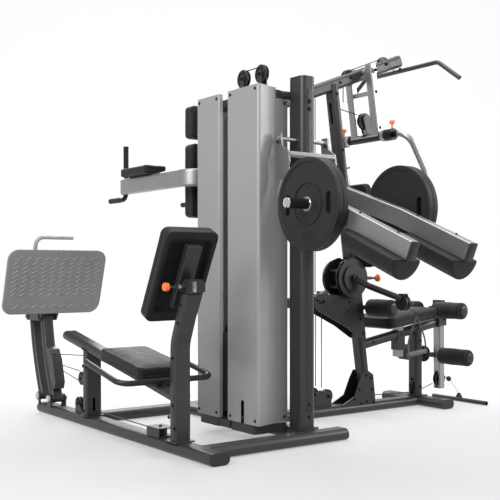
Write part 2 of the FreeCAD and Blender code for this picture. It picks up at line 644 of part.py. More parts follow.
bo, bos = tube(BOOM0, BOOM1, 60, 76, 24, (0, 1, 0))
bo = max(bo.cut(env["rear_post"]).Solids, key=lambda q: q.CenterOfMass.x)
bos = max(bos.cut(env["rear_post"]).Solids, key=lambda q: q.CenterOfMass.x)
bcap = end_cap(BOOM1, tuple(unit(V(*BOOM1) - V(*BOOM0))), 60, 76, 24, (0, 1, 0), 12)
BP = [(790.0, ROW_Y, boom_z(790) + 8), (1100.0, ROW_Y, boom_z(1100) + 12)]
slots = [box(c[0] - 58, c[1] - 14, c[2] - 90, c[0] + q_, c[1] + 14, c[2] + 90) for c, q_ in zip(BP, (58, 106))]
axles = [axle(c, "y", 30) for c in BP]
p_hole = cyl((PRESS_X, ROW_Y - 60, PRESS_Z), (PRESS_X, ROW_Y + 60, PRESS_Z), SHAFT_R)
boom = fuse(cut(bo, *slots), bcap, *[a.common(box(-5000, -5000, -5000, 5000, 5000, 5000)) for a in axles])
put("boom", boom.cut(p_hole), fuse(bos, bcap))
put("boom_pulley_rear", pulley(BP[0], "y"))
put("boom_pulley_front", pulley(BP[1], "y"))

co, cs = tube(COL0, COL1, 50, 94, 22, (1, 0, 0))
trim_low = [env["right_rail"], box(0, 300, -50, 2000, 700, RAIL_H)]
co, cs = cut(co, *trim_low), cut(cs, *trim_low)
co = max(co.cut(env["boom"]).Solids, key=lambda q: q.Volume)
cs = max(cs.cut(env["boom"]).Solids, key=lambda q: q.Volume)


def col_x(z):
    return COL0[0] + (COL1[0] - COL0[0]) * (z - COL0[2]) / (COL1[2] - COL0[2])


slot = rbox(col_x(1865) - 60, ROW_Y - 12, 1800, col_x(1865) + 60, ROW_Y + 12, 1930, 11.5, "x")
co = co.cut(slot)
hook = round_bar([(col_x(1525) + 22, ROW_Y, 1525), (col_x(1525) + 80, ROW_Y, 1540)], [], 5)
hook = hook.cut(cs)
put("right_column", fuse(co, max(hook.Solids, key=lambda q: q.Volume)), cs)

GY = 47.0
gl = []
for y0, y1 in ((ROW_Y - GY - 5, ROW_Y - GY), (ROW_Y + GY, ROW_Y + GY + 5)):
    g = poly([(700, 16), (985, 16), (960, 235), (915, 262), (880, 262), (850, 215), (800, 110), (700, 62)],
             "y", y0, y1)
    g = g.cut(env["right_rail"])
    gl.append(max(g.Solids, key=lambda q: q.Volume))
    m = poly([(470, 735), (505, 752), (col_x(735) - 45, 735), (CABLE_ARM[0] - 50, 800), (CABLE_ARM[0] + 58, 815), (col_x(760) + 24, 760), (col_x(560) + 20, 560),
              (col_x(480) + 22, 450), (col_x(480) - 30, 470), (720, 548), (490, 655), (468, 690)], "y", y0, y1)
    gl.append(m)
    yb = y0 - 26 if y0 < ROW_Y else y1
    d = fuse(Part.makeCylinder(60, 26, V(CABLE_ARM[0], yb, CABLE_ARM[1]), V(0, 1, 0)),
             Part.makeCylinder(120, 6, V(CABLE_ARM[0], yb if y0 < ROW_Y else yb + 20, CABLE_ARM[1]), V(0, 1, 0)))
    gl.append(d)
bp8 = (545.0, ROW_Y, 706.0)
PG1 = fuse(gl[1], gl[2])
PG2 = fuse(gl[4], gl[5])
spacer = cyl((bp8[0], ROW_Y - GY, bp8[2]), (bp8[0], ROW_Y + GY, bp8[2]), AXLE_R)
stop = bar((490, ROW_Y - GY, 735 - 12), (490, ROW_Y + GY, 735 - 12), 12, 12, 2, (1, 0, 0))
link, links = tube((0, ROW_Y, 700), (465, ROW_Y, 700), 60, 60, 14, (0, 1, 0))
link = max(link.cut(env["rear_post"]).Solids, key=lambda q: q.CenterOfMass.x)
endp = box(465, ROW_Y - GY, 668, 473, ROW_Y + GY, 732).cut(PG1).cut(PG2)
put("column_gussets", group(gl[0], gl[3], fuse(PG1, PG2, spacer, link, endp).cut(env["right_column"])))
put("mid_pulley", pulley(bp8, "y", r=46))

# ---- press arm ----------------------------------------------------------------
lean = (955.0 - PRESS_X) / (1750.0 - PRESS_Z)


def press_x(z):
    return PRESS_X + lean * (z - PRESS_Z)


mem = []
for y in (ROW_Y - 95, ROW_Y + 95):
    hh, ss = tube((press_x(2182), y, 2182), (press_x(1735), y, 1735), 50, 58, 8, (1, 0, 0))
    tp = box(press_x(2182) - 26, y - 29, 2180, press_x(2182) + 26, y + 29, 2186)
    m_ = fuse(hh, cyl((PRESS_X, y - 29, PRESS_Z), (PRESS_X, y + 29, PRESS_Z), 19))
    mem.append(cut(m_, cyl((PRESS_X, y - 40, PRESS_Z), (PRESS_X, y + 40, PRESS_Z), SHAFT_R + RUN_FIT)))
lowc = cyl((955, ROW_Y - 205, 1735), (955, ROW_Y + 205, 1735), 27)
upc = cyl((press_x(2010), ROW_Y - 95, 2010), (press_x(2010), ROW_Y + 95, 2010), 14)
press_hub = [cyl((PRESS_X, ROW_Y - 66, PRESS_Z), (PRESS_X, ROW_Y - 34, PRESS_Z), 20),
             cyl((PRESS_X, ROW_Y + 34, PRESS_Z), (PRESS_X, ROW_Y + 66, PRESS_Z), 20)]
bore = cyl((PRESS_X, ROW_Y - 140, PRESS_Z), (PRESS_X, ROW_Y + 140, PRESS_Z), SHAFT_R + RUN_FIT)
pp = (930.0, ROW_Y, 1842.0)
lug1 = poly([(900, 1860), (925, 1885), (955, 1880), (985, 1760), (955, 1745), (930, 1770)], "y", ROW_Y - 22, ROW_Y - 16)
lug2 = poly([(900, 1860), (925, 1885), (955, 1880), (985, 1760), (955, 1745), (930, 1770)], "y", ROW_Y + 16, ROW_Y + 22)
press = fuse(*mem, lowc, upc, *press_hub, lug1, lug2, cyl((pp[0], ROW_Y - 22, pp[2]), (pp[0], ROW_Y + 22, pp[2]), AXLE_R))
put("press_frame", press.cut(bore))
put("press_pulley", pulley(pp, "y", r=52))


def press_handle(sg):
    """Cranked grip bar outside the cross tube; sg is the side along Y."""
    y0 = ROW_Y + sg * 205
    y1 = ROW_Y + sg * 352
    tube_ = round_bar([(955, y0, 1735), (955, y1, 1735), (1112, y1, 1500), (1136, y1, 1215)], [90, 160], 19)
    block = fuse(cyl((955, y0 - sg * 60, 1735), (955, y0 + sg * 32, 1735), 36))
    return fuse(tube_, block).cut(lowc)


put("press_handles", group(press_handle(-1), press_handle(1)))


def knob(c, d, stem, r=18.0):
    d = unit(V(*d))
    c = V(*c)
    return fuse(Part.makeCylinder(6, stem, c, d), allround(Part.makeCylinder(r, 20, c + d * stem, d), 5))


put("press_knobs", group(knob((955, ROW_Y - 222, 1771), (0, 0, 1), 30), knob((955, ROW_Y + 215, 1771), (0, 0, 1), 30)))
put("pivot_shafts", group(
    fuse(cyl((PRESS_X, ROW_Y - 132, PRESS_Z), (PRESS_X, ROW_Y + 132, PRESS_Z), SHAFT_R),
         cyl((PRESS_X, ROW_Y - 138, PRESS_Z), (PRESS_X, ROW_Y - 128, PRESS_Z), 16),
         cyl((PRESS_X, ROW_Y + 128, PRESS_Z), (PRESS_X, ROW_Y + 138, PRESS_Z), 16)),
    fuse(cyl((-SQ_X - 2, SQ_Y, SQ_Z), (SQ_X + 2, SQ_Y, SQ_Z), SHAFT_R),
         cyl((-SQ_X - 10, SQ_Y, SQ_Z), (-SQ_X - 2, SQ_Y, SQ_Z), 15),
         cyl((SQ_X + 2, SQ_Y, SQ_Z), (SQ_X + 10, SQ_Y, SQ_Z), 15))))

# lat bar hangs from the front boom pulley
LX, LZ = 1254.0, 2204.0
lat = round_bar([(LX, 4, 2074), (LX, 179, LZ), (LX, 827, LZ), (LX, 1002, 2074)], [70, 70], 14)
link_bar = cyl((LX - 52, ROW_Y, LZ - 12), (LX, ROW_Y, LZ - 2), 4.5).cut(lat)
link_bar = max(link_bar.Solids, key=lambda q: q.Volume)
swivel = cyl((LX, ROW_Y, LZ), (LX, ROW_Y, LZ + 22), 9)
put("lat_bar", group(fuse(lat, swivel), link_bar))

# ---- seat station -------------------------------------------------------------
ST0, ST1 = (900.0, ROW_Y, 421.0), (1588.0, ROW_Y, 539.0)
st, sts = tube(ST0, ST1, 60, 60, 26, (0, 1, 0))
st = max(st.cut(env["right_column"]).Solids, key=lambda q: q.CenterOfMass.x)
sts = max(sts.cut(env["right_column"]).Solids, key=lambda q: q.CenterOfMass.x)
FP0 = 1398.0
fp, fps = tube((FP0, ROW_Y, 66), (FP0, ROW_Y, 510), 60, 92, 26, (1, 0, 0))
fp = max(fp.cut(sts).Solids, key=lambda q: -q.CenterOfMass.z)
fp = fp.cut(box(FP0 - 60, ROW_Y - 13, 72, FP0 + 60, ROW_Y + 13, 178))
ffoot = rbox(FP0 - 24, ROW_Y - 56, RAIL_H, FP0 + 60, ROW_Y + 56, 66, 8)
guide = box(1235 - 32, ROW_Y - 32, 375, 1235 + 32, ROW_Y + 32, 500).cut(sts)
guide = max(guide.Solids, key=lambda q: -q.CenterOfMass.z)
bore_sp = box(1235 - 25.4, ROW_Y - 25.4, 300, 1235 + 25.4, ROW_Y + 25.4, 800)
st = st.cut(bore_sp)
guide = guide.cut(bore_sp)
fax = cyl((FP0, ROW_Y - 46, 124), (FP0, ROW_Y + 46, 124), AXLE_R)
LE = (1616.0, 566.0)
tip1 = box(1580, ROW_Y - 48, 520, 1652, ROW_Y - 36, 650)
tip2 = box(1580, ROW_Y + 36, 520, 1652, ROW_Y + 48, 650)
top_blk = rbox(1604, ROW_Y - 36, 606, 1654, ROW_Y + 36, 692, 6, "z")
yoke = box(1580, ROW_Y - 48, 512, 1592, ROW_Y + 48, 590)
le_axle = cyl((LE[0] + 12, ROW_Y - 48, LE[1]), (LE[0] + 12, ROW_Y + 48, LE[1]), SHAFT_R)
ru = (1516.0, 630.0)
rr = (925.0, 660.0)
seat_fr = fuse(st, fp, ffoot, guide, fax, tip1, tip2, yoke, le_axle, top_blk)
put("seat_frame", seat_fr, fuse(sts, fps))
put("seat_post", box(1235 - 25, ROW_Y - 25, 330, 1235 + 25, ROW_Y + 25, 548).cut(
    box(1235 - 22, ROW_Y - 22, 333, 1235 + 22, ROW_Y + 22, 545))) 
PAD_A = math.degrees(math.atan(0.13))
sb = box(-200, -150, -8, 200, 150, 0)
sp_ = allround(box(-225, -182, 0, 225, 182, 70), 26)
plc = FreeCAD.Placement(V(1215, ROW_Y, 557), FreeCAD.Rotation(V(0, 1, 0), -PAD_A))
sb.Placement = plc
sp_.Placement = plc
sb = sb.cut(sp_)
shapes["seat_post"] = fuse(shapes["seat_post"].cut(sp_), box(1235 - 30, ROW_Y - 30, 520, 1235 + 30, ROW_Y + 30, 556).cut(sp_), sb)
put("seat_pad", sp_)
lb = allround(box(0, -140, -262, 62, 140, 262), 24)
lb.Placement = FreeCAD.Placement(V(col_x(1170) + 62, ROW_Y, 1170), FreeCAD.Rotation(V(0, 1, 0), -math.degrees(math.atan(287 / 1980))))
put("station_back_pad", lb)
bk = []
for z in (1000, 1260):
    b_ = box(col_x(z), ROW_Y - 30, z - 25, col_x(z) + 100, ROW_Y + 30, z + 25).cut(env["right_column"]).cut(lb)
    bk.append(min(b_.Solids, key=lambda q: abs(q.CenterOfMass.x - col_x(z) - 38)))
put("back_pad_mounts", group(*bk))
put("front_low_pulley", pulley((FP0, ROW_Y, 124), "y", r=49))

# fixed foam rollers: thigh hold-down behind, knee rollers in front
stand = [box(ru[0] - 14, ROW_Y - 14, 530, ru[0] + 14, ROW_Y + 14, ru[1]).cut(sts)]
stand = max(stand[0].Solids, key=lambda q: q.CenterOfMass.z)
axu = fuse(stand, cyl((ru[0], ROW_Y - 312, ru[1]), (ru[0], ROW_Y + 312, ru[1]), 12))
arm_r = bar((rr[0], ROW_Y, rr[1]), (col_x(655), ROW_Y, 655), 30, 30, 6, (0, 1, 0)).cut(env["right_column"])
arm_r = max(arm_r.Solids, key=lambda q: q.CenterOfMass.x)
axr = fuse(arm_r, cyl((rr[0], ROW_Y - 260, rr[1]), (rr[0], ROW_Y + 260, rr[1]), 12))
put("roller_bars", group(axu, axr))


def foam(c, y0, y1):
    s_ = Part.makeCylinder(ROLLER_R, y1 - y0, V(c[0], y0, c[1]), V(0, 1, 0))
    s_ = allround(s_, 10)
    return s_.cut(Part.makeCylinder(12, y1 - y0 + 20, V(c[0], y0 - 10, c[1]), V(0, 1, 0)))


put("frame_rollers", group(foam(ru, ROW_Y - 306, ROW_Y - 70), foam(ru, ROW_Y + 70, ROW_Y + 306),
                           foam(rr, ROW_Y - 256, ROW_Y - 60), foam(rr, ROW_Y + 60, ROW_Y + 256)))

# leg extension
lx = LE[0] + 12
la, las = tube((lx + 4, ROW_Y, 92), (lx, ROW_Y, 586), 50, 60, 8, (1, 0, 0))
la = la.cut(box(lx - 60, ROW_Y - 13, 104, lx + 60, ROW_Y + 13, 214))
la = fuse(la, cyl((lx, ROW_Y - 34, LE[1]), (lx, ROW_Y + 34, LE[1]), 22), box(lx - 25, ROW_Y - 30, 586, lx + 25, ROW_Y + 30, 590))
la = la.cut(cyl((lx, ROW_Y - 60, LE[1]), (lx, ROW_Y + 60, LE[1]), SHAFT_R + RUN_FIT))
rl = (1575.0, 322.0)
lob = cyl((rl[0], ROW_Y - 312, rl[1]), (rl[0], ROW_Y + 312, rl[1]), 12)
lug3 = box(rl[0] - 16, ROW_Y - 16, rl[1] - 16, lx, ROW_Y + 16, rl[1] + 16).cut(las)
lug3 = max(lug3.Solids, key=lambda q: -q.CenterOfMass.x)
pax = cyl((lx + 3, ROW_Y - 30, 156), (lx + 3, ROW_Y + 30, 156), AXLE_R)
put("leg_extension_arm", fuse(la, lob, lug3, pax))
put("leg_extension_rollers", group(foam(rl, ROW_Y - 306, ROW_Y - 70), foam(rl, ROW_Y + 70, ROW_Y + 306)))
put("leg_extension_pulley", pulley((lx + 3, ROW_Y, 156), "y", r=49))

# low bar lying on the floor, with its link and ball stop
LBX = 1742.0
lowbar = cyl((LBX, 190, 14), (LBX, 655, 14), 14)
tri = poly([(LBX - 3, 26), (LBX + 3, 26), (LBX + 3, 60), (LBX - 3, 60)], "y", ROW_Y - 95, ROW_Y - 65)
tri2 = poly([(ROW_Y - 110, 22), (ROW_Y - 50, 22), (ROW_Y - 70, 58), (ROW_Y - 90, 58)], "x", LBX - 4, LBX + 4)
put("low_bar", fuse(lowbar, tri2))

# ---- cable arms ---------------------------------------------------------------
def cable_arm(sg):
    """Swinging arm beside the column with a swivel pulley housing."""
    y0 = ROW_Y + sg * (GY + 31.5)
    y1 = ROW_Y + sg * 376
    ca, cas = bent_tube([(CABLE_ARM[0], y0 + sg * 22, CABLE_ARM[1]), (CABLE_ARM[0] + 62, y0 + sg * 60, CABLE_ARM[1] - 44),
                         (885, y1, 722)], [60], 36, 36, 12,
                        tuple(unit((V(62, sg * 38, -44)).cross(V(885 - 802, y1 - y0 - sg * 60, 722 - 801)))))
    plate_ = Part.makeCylinder(84, 10, V(CABLE_ARM[0], y0 if sg > 0 else y0 - 10, CABLE_ARM[1]), V(0, 1, 0))
    hub_ = Part.makeCylinder(26, 30, V(CABLE_ARM[0], y0 if sg > 0 else y0 - 30, CABLE_ARM[1]), V(0, 1, 0))
    hx, hy, hz = 892.0, y1, 700.0
    ch = []
    for xx in (hx - 18, hx + 13):
        ch.append(fuse(cyl((xx, hy, hz), (xx + 5, hy, hz), 46), box(xx, hy - 22, hz, xx + 5, hy + 22, hz + 52)))
    top = box(hx - 18, hy - 22, hz + 47, hx + 18, hy + 22, hz + 55)
    ax = cyl((hx - 18, hy, hz), (hx + 18, hy, hz), AXLE_R)
    return fuse(ca.cut(box(hx - 13, hy - 46, hz - 46, hx + 13, hy + 46, hz + 47)), plate_, hub_, *ch, top, ax)


for nm, sg in (("near", -1), ("far", 1)):
    put("cable_arm_" + nm, cable_arm(sg))
    put("cable_arm_pulley_" + nm, pulley((892.0, ROW_Y + sg * 376, 700.0), "x", r=43, t=20))

# ---- squat lever --------------------------------------------------------------
def beam_line(y, off=0.0):
    """Top edge height of the lever beams at y."""
    if y > -528:
        return 1206 + 0.337 * (y + 528) + off
    return 1206 + 0.404 * (y + 528) + off


def sq_side(sg):
    """One lever side: hung plate, bent box beam and its plate sleeve."""
    xi, xo = SQ_X * sg, (SQ_X + 50) * sg
    pl = poly([(-22, 1606), (22, 1606), (30, 1585), (24, 1520), (2, 1460), (10, 1400), (0, 1330), (-40, 1250),
               (-160, 1225), (-160, 1300), (-100, 1340), (-74, 1400), (-92, 1455), (-80, 1510), (-34, 1540), (-26, 1570)],
              "x", min(xi, xi - 10 * sg), max(xi, xi - 10 * sg))
    pl = pl.cut(cyl((xi - 20, SQ_Y, SQ_Z), (xi + 20, SQ_Y, SQ_Z), SHAFT_R + RUN_FIT))
    mid = (xi + xo) / 2
    h = 88.0
    c0 = (mid, -70, beam_line(-70) - h / 2 * 1.054)
    c1 = (mid, -528, beam_line(-528) - h / 2 * 1.07)
    c2 = (mid, -962, beam_line(-972) - h / 2 * 1.085)
    bt, bs_ = bent_tube([c0, c1, c2], [600], 50, h, 7, (1, 0, 0), 3.0)
    lid = bar(c0, (c0[0], c0[1] + 4, c0[2] + 4 * 0.332), 50, h, 7, (1, 0, 0))
    y, z = -374.0, 1212.0
    slv = cyl((xo, y, z), (xo + 192 * sg if sg < 0 else xo + 280, y, z), SLEEVE_R)
    # the stretch that carries the discs is a close fit in their bores
    slv = slv.fuse(cyl((xo, y, z), (-288.5 if sg < 0 else 387.5, y, z), SLEEVE_R + 0.4)).removeSplitter()
    return fuse(pl, bt, lid), fuse(slv, cyl((xo, y, z), (xo + 6 * sg, y, z), 44)), (c0, c1, c2), bs_


n_f, n_s, n_c, n_e = sq_side(-1)
f_f, f_s, f_c, f_e = sq_side(1)
xbar = bar((-SQ_X + 10, -66, 1492), (SQ_X - 10, -66, 1492), 34, 34, 15, (0, 1, 0))
xbar.translate(V(0, -6, 0))
put("squat_near_arm", n_f)
put("squat_far_arm", f_f)
put("squat_cross_bar", cut(xbar, n_f, f_f))
put("plate_sleeves", group(n_s.cut(n_e), f_s.cut(f_e)))
caps_ = []
pads_ = []
for c0, c1, c2 in (n_c, f_c):
    d = unit(V(*c2) - V(*c1))
    caps_.append(bar(c2, tuple(V(*c2) + d * 10), 50, 88, 7, (1, 0, 0)))
    up = V(0, -d.z, d.y)
    if up.z < 0:
        up = up * -1
    a = V(*c2) - up * 44.4 - d * 8
    b = V(*c2) - up * 44.4 - d * 366
    r = 86.0
    mk = Part.Wire([Part.LineSegment(a - V(r, 0, 0), a + V(r, 0, 0)).toShape(),
                    Part.Arc(a + V(r, 0, 0), a - up * 100, a - V(r, 0, 0)).toShape()])
    pd = Part.Face(mk).extrude(b - a)
    pads_.append(pd.makeFillet(10, pd.Edges))
put("squat_end_caps", group(*caps_))
put("shoulder_pads", group(*pads_))


def disc(x0, x1, y, z):
    """Rubber weight disc with two hand slots and a raised hub."""
    t = x1 - x0
    prof = [(SLEEVE_R + 0.5, 0), (62, 0), (62, 2.5), (98, 4), (200, 4), (206, 0), (222, 0), (DISC_R, 3), (DISC_R, t - 3),
            (222, t), (206, t), (200, t - 4), (98, t - 4), (62, t - 2.5), (62, t), (SLEEVE_R + 0.5, t)]
    w = Part.makePolygon([V(a, 0, b) for a, b in prof + [prof[0]]])
    s_ = Part.Face(w).revolve(V(0, 0, 0), V(0, 0, 1), 360)
    s_.Placement = FreeCAD.Placement(V(x0, y, z), FreeCAD.Rotation(V(0, 1, 0), 90))
    for q in (-150, 150):
        s_ = s_.cut(rbox(x0 - 1, y + q - 17, z - 52, x1 + 1, y + q + 17, z + 52, 16.5, "x"))
    return s_


DY, DZ = -374.0, 1212.0
xo = SQ_X + 50
put("near_disc_inner", disc(-xo - 6.4 - 32, -xo - 6.4, DY, DZ))
put("near_disc_outer", disc(-xo - 6.8 - 64, -xo - 6.8 - 32, DY, DZ))
put("far_disc_inner", disc(319, 351, DY, DZ))
put("far_disc_outer", disc(351.4, 383.4, DY, DZ))

# ---- cables -------------------------------------------------------------------
g = GROOVE
cb = []
cb.append(plane_cable([("p", 182 - g, 1990 - 120), ("c", 182, 1950, g, -1), ("c", 346, 1950, g, -1), ("p", 346 + g, 1870)],
                      "x", -130.0))
cb.append(plane_cable([("p", BP[0][0] - g, boom_z(740) - 130), ("c", BP[0][0], BP[0][2], g, -1), ("c", BP[1][0], BP[1][2], g, -1),
                       ("p", LX - 52, LZ - 6)], "y", ROW_Y))
cb.append(cyl((515, ROW_Y - 10, 192), (515, ROW_Y - 10, 655), CABLE_R))
cb.append(cyl((571, ROW_Y, 176), (571, ROW_Y, 655), CABLE_R))
cb.append(cyl((462, ROW_Y + 16, 192), (462, ROW_Y + 16, 664), CABLE_R))
cb.append(cyl((440, ROW_Y, 734), (440, ROW_Y, boom_z(440) - 46), CABLE_R))
cb.append(cyl((520, ROW_Y, 760), (520, ROW_Y, boom_z(520) - 46), CABLE_R))
cb.append(cyl((714, ROW_Y, 1900), (893, ROW_Y, 1875), CABLE_R))
cb.append(plane_cable([("p", 1000, 95), ("c", FP0, 124, 49 - 13 + 3.4, 1), ("p", lx - 62, 128)], "y", ROW_Y))
put("cables", group(*cb))
LPY = [(1170.0, 262.0), (1222.0, 110.0)]
put("lp_cables", group(
    cyl((XC - 12, 1058, 402), (XC - 12, 1530, 376), CABLE_R), cyl((XC, 1190, 300), (XC, 1490, 318), CABLE_R),
    cyl((XC + 12, 1190, 232), (XC + 12, 1478, 282), CABLE_R), cyl((XC, 330, 88), (XC, 1003, 92), CABLE_R)))
lp_p = [pulley((XC, y, z), "x", r=40) for y, z in ((1150.0, 262.0), (1190.0, 110.0))]
lp_ax = [axle((XC, y, z), "x", 22) for y, z in ((1150.0, 262.0), (1190.0, 110.0))]
lp_ch = [cut(poly([(1045, 240), (1165, 240), (1165, 284), (1045, 284)], "x", XC + q, XC + q + 5), env["lp_seat_frame"])
         for q in (-20, 15)]
lp_ch += [poly([(1120, 66), (1215, 66), (1205, 122), (1175, 122)], "x", XC + q, XC + q + 5).cut(env["leg_press_rail"])
          .cut(env["lp_seat_frame"]) for q in (-20, 15)]
lp_ft = box(XC - 20, 1105, 60, XC + 20, 1215, 66)
put("lp_pulley_brackets", group(lp_ch[0], lp_ch[1], fuse(lp_ch[2], lp_ch[3], lp_ft),
                                *[a.cut(q1_).cut(q2_) for a, q1_, q2_ in ((lp_ax[0], lp_ch[0], lp_ch[1]), (lp_ax[1], lp_ch[2], lp_ch[3]))]))
put("lp_pulleys", group(*[pulley((XC, y, z), "x", r=40, bore=AXLE_R) for y, z in ((1150.0, 262.0), (1190.0, 110.0))]))
blk = fuse(box(XC - 46, 200, 60, XC + 46, 322, 68), box(XC - 46, 200, 102, XC + 46, 322, 108),
           box(XC - 46, 200, 60, XC - 40, 322, 108), cyl((XC, 262, 60), (XC, 262, 116), 8),
           cyl((XC, 262, 70), (XC, 262, 100), 34))
put("rail_pulley_block", blk)
low_p = [pulley((612, ROW_Y, 122), "y", r=42, bore=AXLE_R), pulley((498, ROW_Y, 142), "y", r=42, bore=AXLE_R)]
put("low_pulleys", group(*low_p))
lbk = []
for y0 in (ROW_Y - 20, ROW_Y + 14):
    lbk.append(fuse(box(476, y0, 60, 636, y0 + 6, 156), ))
lbk = fuse(*lbk, box(476, ROW_Y - 20, 60, 636, ROW_Y + 20, 66),
           *[cyl((x, ROW_Y - 24, zz), (x, ROW_Y + 24, zz), AXLE_R) for x, zz in ((612, 122), (498, 142))])
put("low_pulley_bracket", lbk)

# ---- pieces that share a node -------------------------------------------------
def merge(name, *names, fused=False):
    parts = [shapes.pop(n) for n in names]
    for n in names:
        env.pop(n, None)
    put(name, fuse(*parts) if fused else group(*parts))


merge("frame_pulleys", "low_pulleys", "lp_pulleys", "front_low_pulley", "mid_pulley",
      "boom_pulley_rear", "boom_pulley_front")
merge("pulley_brackets", "lp_pulley_brackets", "low_pulley_bracket", "rail_pulley_block", "lp_pivot_brackets")
merge("cables", "cables", "lp_cables")
merge("near_discs", "near_disc_inner", "near_disc_outer")
merge("far_discs", "far_disc_inner", "far_disc_outer")
merge("squat_near_arm", "squat_near_arm", "squat_cross_bar", fused=True)
merge("shoulder_pads", "shoulder_pads", "squat_end_caps")
merge("seat_frame", "seat_frame", "roller_bars", "back_pad_mounts")
merge("cable_arm_near", "cable_arm_near", "cable_arm_pulley_near")
merge("cable_arm_far", "cable_arm_far", "cable_arm_pulley_far")
merge("leg_extension_arm", "leg_extension_arm", "leg_extension_pulley")
merge("press_frame", "press_frame", "press_pulley")
merge("rods_and_shafts", "guide_rods", "pivot_shafts")

# ---- set the origin and write -------------------------------------------------
whole = Part.makeCompound([s for s in shapes.values()])
bb = whole.optimalBoundingBox(True, False) if hasattr(whole, "optimalBoundingBox") else whole.BoundBox
ORIGIN = V(-round((bb.XMin + bb.XMax) / 2, 1), -round((bb.YMin + bb.YMax) / 2, 1), -bb.ZMin if bb.ZMin < -0.01 else 0)
print("BOX", bb)
print("ORIGIN", ORIGIN.x, ORIGIN.y, ORIGIN.z, "nodes", len(shapes))
for name, s in shapes.items():
    if not s.isValid():
        print("INVALID", name)
    n = len(s.Solids)
    s = s.translated(ORIGIN) if hasattr(s, "translated") else s
    out = s if n != 1 else s.Solids[0]
    out.exportStep(os.path.join("parts", name + ".step"))
    print("%-26s solids %2d  vol %9.1f cm3" % (name, n, s.Volume / 1000.0))
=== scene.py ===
import bpy, bmesh, math, random
from mathutils import Vector, Matrix


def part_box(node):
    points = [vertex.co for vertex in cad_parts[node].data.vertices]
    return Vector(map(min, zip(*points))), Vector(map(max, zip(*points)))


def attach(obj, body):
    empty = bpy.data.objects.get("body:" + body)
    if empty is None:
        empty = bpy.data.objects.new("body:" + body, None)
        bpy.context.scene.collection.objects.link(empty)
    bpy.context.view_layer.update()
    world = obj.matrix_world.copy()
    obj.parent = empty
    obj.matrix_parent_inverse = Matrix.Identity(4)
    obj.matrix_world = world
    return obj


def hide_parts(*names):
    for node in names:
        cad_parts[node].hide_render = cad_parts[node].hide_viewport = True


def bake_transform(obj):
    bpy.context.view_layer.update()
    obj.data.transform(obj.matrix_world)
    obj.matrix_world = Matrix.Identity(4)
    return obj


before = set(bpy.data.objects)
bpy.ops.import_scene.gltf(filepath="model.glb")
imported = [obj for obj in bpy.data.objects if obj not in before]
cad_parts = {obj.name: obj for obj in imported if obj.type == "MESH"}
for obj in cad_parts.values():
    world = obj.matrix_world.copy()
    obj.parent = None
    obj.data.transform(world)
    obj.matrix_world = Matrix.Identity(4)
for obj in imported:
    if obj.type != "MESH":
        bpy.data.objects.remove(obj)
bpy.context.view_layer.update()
random.seed(11)
OX, OY = -0.3595, -0.4435
ROW = 503.0
XC = -714.0


def P(x, y, z):
    """Millimetres from the tower's front foot to row metres."""
    return Vector((x / 1000 + OX, y / 1000 + OY, z / 1000))


def lin(h):
    c = [int(h[i:i + 2], 16) / 255 for i in (1, 3, 5)]
    return tuple((v / 12.92 if v <= 0.04045 else ((v + 0.055) / 1.055) ** 2.4) for v in c) + (1,)


